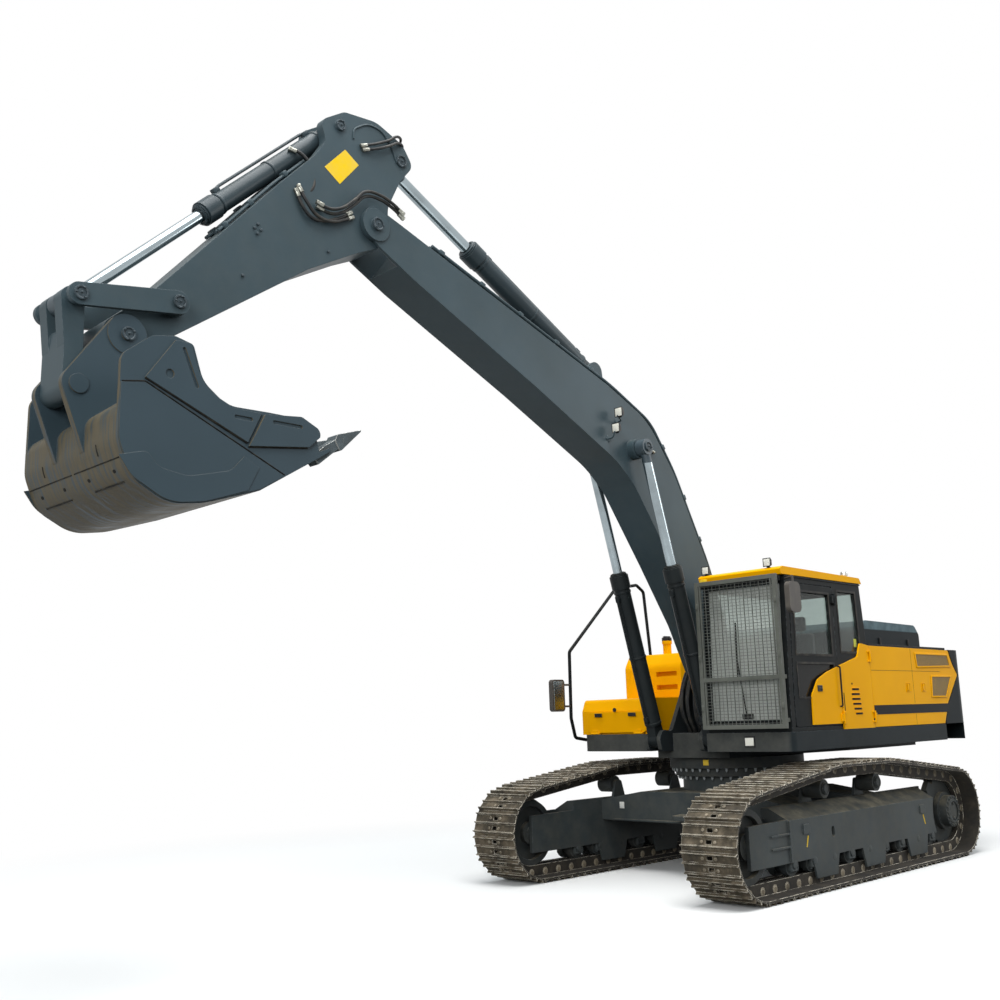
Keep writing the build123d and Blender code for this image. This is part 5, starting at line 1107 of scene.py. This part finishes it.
# Dark lines run where one plate is welded on another, on both cheeks: painted shadow under the plates' edges.
SEAMS = ([(268, -514), (104, -483), (-1010, -979)], [(107, -462), (-688, -792)],
         [(-806, -556), (-694, -787)], [(-700, -817), (-1210, -750)])
shadow_lines = [pipe([(u, side * 738, v) for u, v in route], 5, 20, sides=6) for route in SEAMS for side in (1, -1)]
# Beads and discs on the wrapper, in the same painted shade, stand for the joints and plugs of its wear plates.
scoop = frame["nodes"]["bucket"]


def below(angle):
    """The way that points an angle below the front."""
    return Vector((math.cos(math.radians(angle)), 0, -math.sin(math.radians(angle))))


def on_wrapper(angle, y):
    """The wrapper's outer face at an angle below the front, seen from the bucket's middle."""
    start = knuckle + Vector((-0.1, y / 1000, -0.85))
    met = scoop.ray_cast(start + below(angle) * 1.5, -below(angle),
                         depsgraph=bpy.context.evaluated_depsgraph_get())[1]
    return on_bucket.inverted() @ met


for side in (1, -1):
    for spots, radius in ((((26, 20), (26, 715)), 5), (((50, 180), (50, 600)), 7),
                          ([(angle, 420) for angle in (6, 10, 14, 18)], 5)):
        shadow_lines.append(pipe([on_wrapper(angle, side * y) for angle, y in spots], radius, sides=6))
    for y in (190, 560):
        centre, way = on_wrapper(38, side * y), below(38)
        shadow_lines.append(round_bar(centre - way * 12, centre + way * 1.5, 17))
fit(join(*shadow_lines), "bucket_shadow_lines", "bucket", dark_opening, on_bucket)


# ---- Hoses ----
# Wire-braided rubber hose, smooth outside, with crimped and zinc-plated sleeves and hexagon nuts.
# Each short hose is held at both ends.
hose_rubber = moulded("smooth_black_hose_rubber", "#161819", rough=0.48, grain=420.0, strength=0.15)
zinc = satin_metal("zinc_plated_steel", "#8f9088", 0.35, dulled=0.4, dull="#6a6455")


def fitted(lines, radius, ends=(True, True)):
    """Smooth hoses through their points, and the sleeves and nuts at their ends apart from them."""
    hoses, metal = [], []
    for points in lines:
        spots = [Vector(p) for p in points]
        hoses.append(pipe(spots, radius))
        for tip, after, wanted in ((spots[0], spots[1], ends[0]), (spots[-1], spots[-2], ends[1])):
            if wanted:
                run = (after - tip).normalized()
                metal.append(round_bar(tip, tip + run * 58, radius * 1.32, 2, sides=20))
                metal.append(round_bar(tip - run * 14, tip + run * 14, radius * 1.55, 2, sides=6))
    return join(*hoses), join(*metal)


def hose_set(name, body, where, lines, radius):
    """Several hoses on one body as one piece, and their fittings as another."""
    hoses, sleeves = fitted(lines, radius)
    fit(hoses, name, body, hose_rubber, where, smooth=60)
    fit(sleeves, name + "_sleeves", body, zinc, where)


def over_joint(name, k, where, points, ends=(True, True)):
    """One hose over a joint and its fittings, in their places and riding on nothing."""
    hose, metal = fitted([points], 15, ends)
    return (fit(hose, "%s_hose_%d" % (name, k), None, hose_rubber, where, smooth=60),
            fit(metal, "%s_sleeves_%d" % (name, k), None, zinc, where, smooth=60))


# Around the arm's head, on its left side.
hose_set("arm_side_hoses", "arm", on_arm, [
    [(646, 192, 523), (672, 206, 380), (640, 212, 268), (531, 212, 204), (360, 206, 178), (195, 196, 181)],
    [(600, 192, 545), (618, 218, 400), (585, 226, 262), (470, 226, 176), (330, 214, 150), (200, 196, 140)]],
    15)
hose_set("arm_head_hoses", "arm", on_arm, [
    [(-299, 196, 678), (-440, 214, 652), (-619, 214, 639), (-790, 198, 640), (-842, 150, 600),
     (-792, 90, 560)],
    [(-299, 196, 640), (-430, 222, 606), (-600, 228, 590), (-748, 206, 585), (-826, 150, 540),
     (-800, 80, 500)]], 13)
# Over the boom's tip pin, from the boom's pipes to the arm.
for k, (out, lift) in enumerate(((238, 0), (262, 34)), 1):
    for part in over_joint("boom_to_arm", k, on_arm, [
            (515, out - 40, 330 + lift), (440, out - 22, 246 + lift), (340, out - 8, 212 + lift),
            (138, out, 231 + lift), (-24, out, 259 + lift), (-170, out, 186 + lift),
            (-275, out, 70 + lift), (-345, out - 10, -40 + lift)]):
        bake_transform(part)
# From the arm up to the bucket cylinder's ports, in front of the foot pin.
for k, y in enumerate((118, -118), 1):
    for part in over_joint("bucket_cylinder", k, on_arm, [
            (560, y * 1.2, 470), (470, y * 1.45, 480), (380, y * 1.4, 560), (330, y * 1.25, 690),
            (345, y, 800), (400, y * 0.7, 868)]):
        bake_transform(part)
# A small loop on the boom beside the lift cylinders' pin.
hose_set("boom_side_hose", "boom", on_boom, [
    [(2505, 232, 1190), (2580, 246, 1150), (2660, 250, 1120), (2700, 244, 1075), (2690, 232, 1040)]], 11)

# In front of the boom's foot a valve block is bolted to the deck; its hoses rise to the boom's belly.
valve = block((560, -118, 1262), (770, 118, 1420), 10, segments=3)
spools = copies(round_bar((560, 0, 0), (790, 0, 0), 20, 4, sides=20),
                shifts(*((0, y, 1342) for y in (-84, -42, 0, 42, 84))))
fit(join(valve, spools), "valve_block", "upper", pin_steel)
for k, y in enumerate((-150, -110, -70, -30, 30, 70, 110, 150)):
    lean = 0.5 * (k % 2)
    for part in over_joint("boom_foot", k + 1, machine, [
            (680 + 60 * lean, y * 0.75, 1420), (710 + 60 * lean, y * 0.8, 1530),
            (790 + 50 * lean, y * 0.95, 1700), (810 + 50 * lean, y, 1880),
            (760 + 40 * lean, y, 2050), (680 + 20 * lean, y, 2190)], (True, False)):
        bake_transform(part)
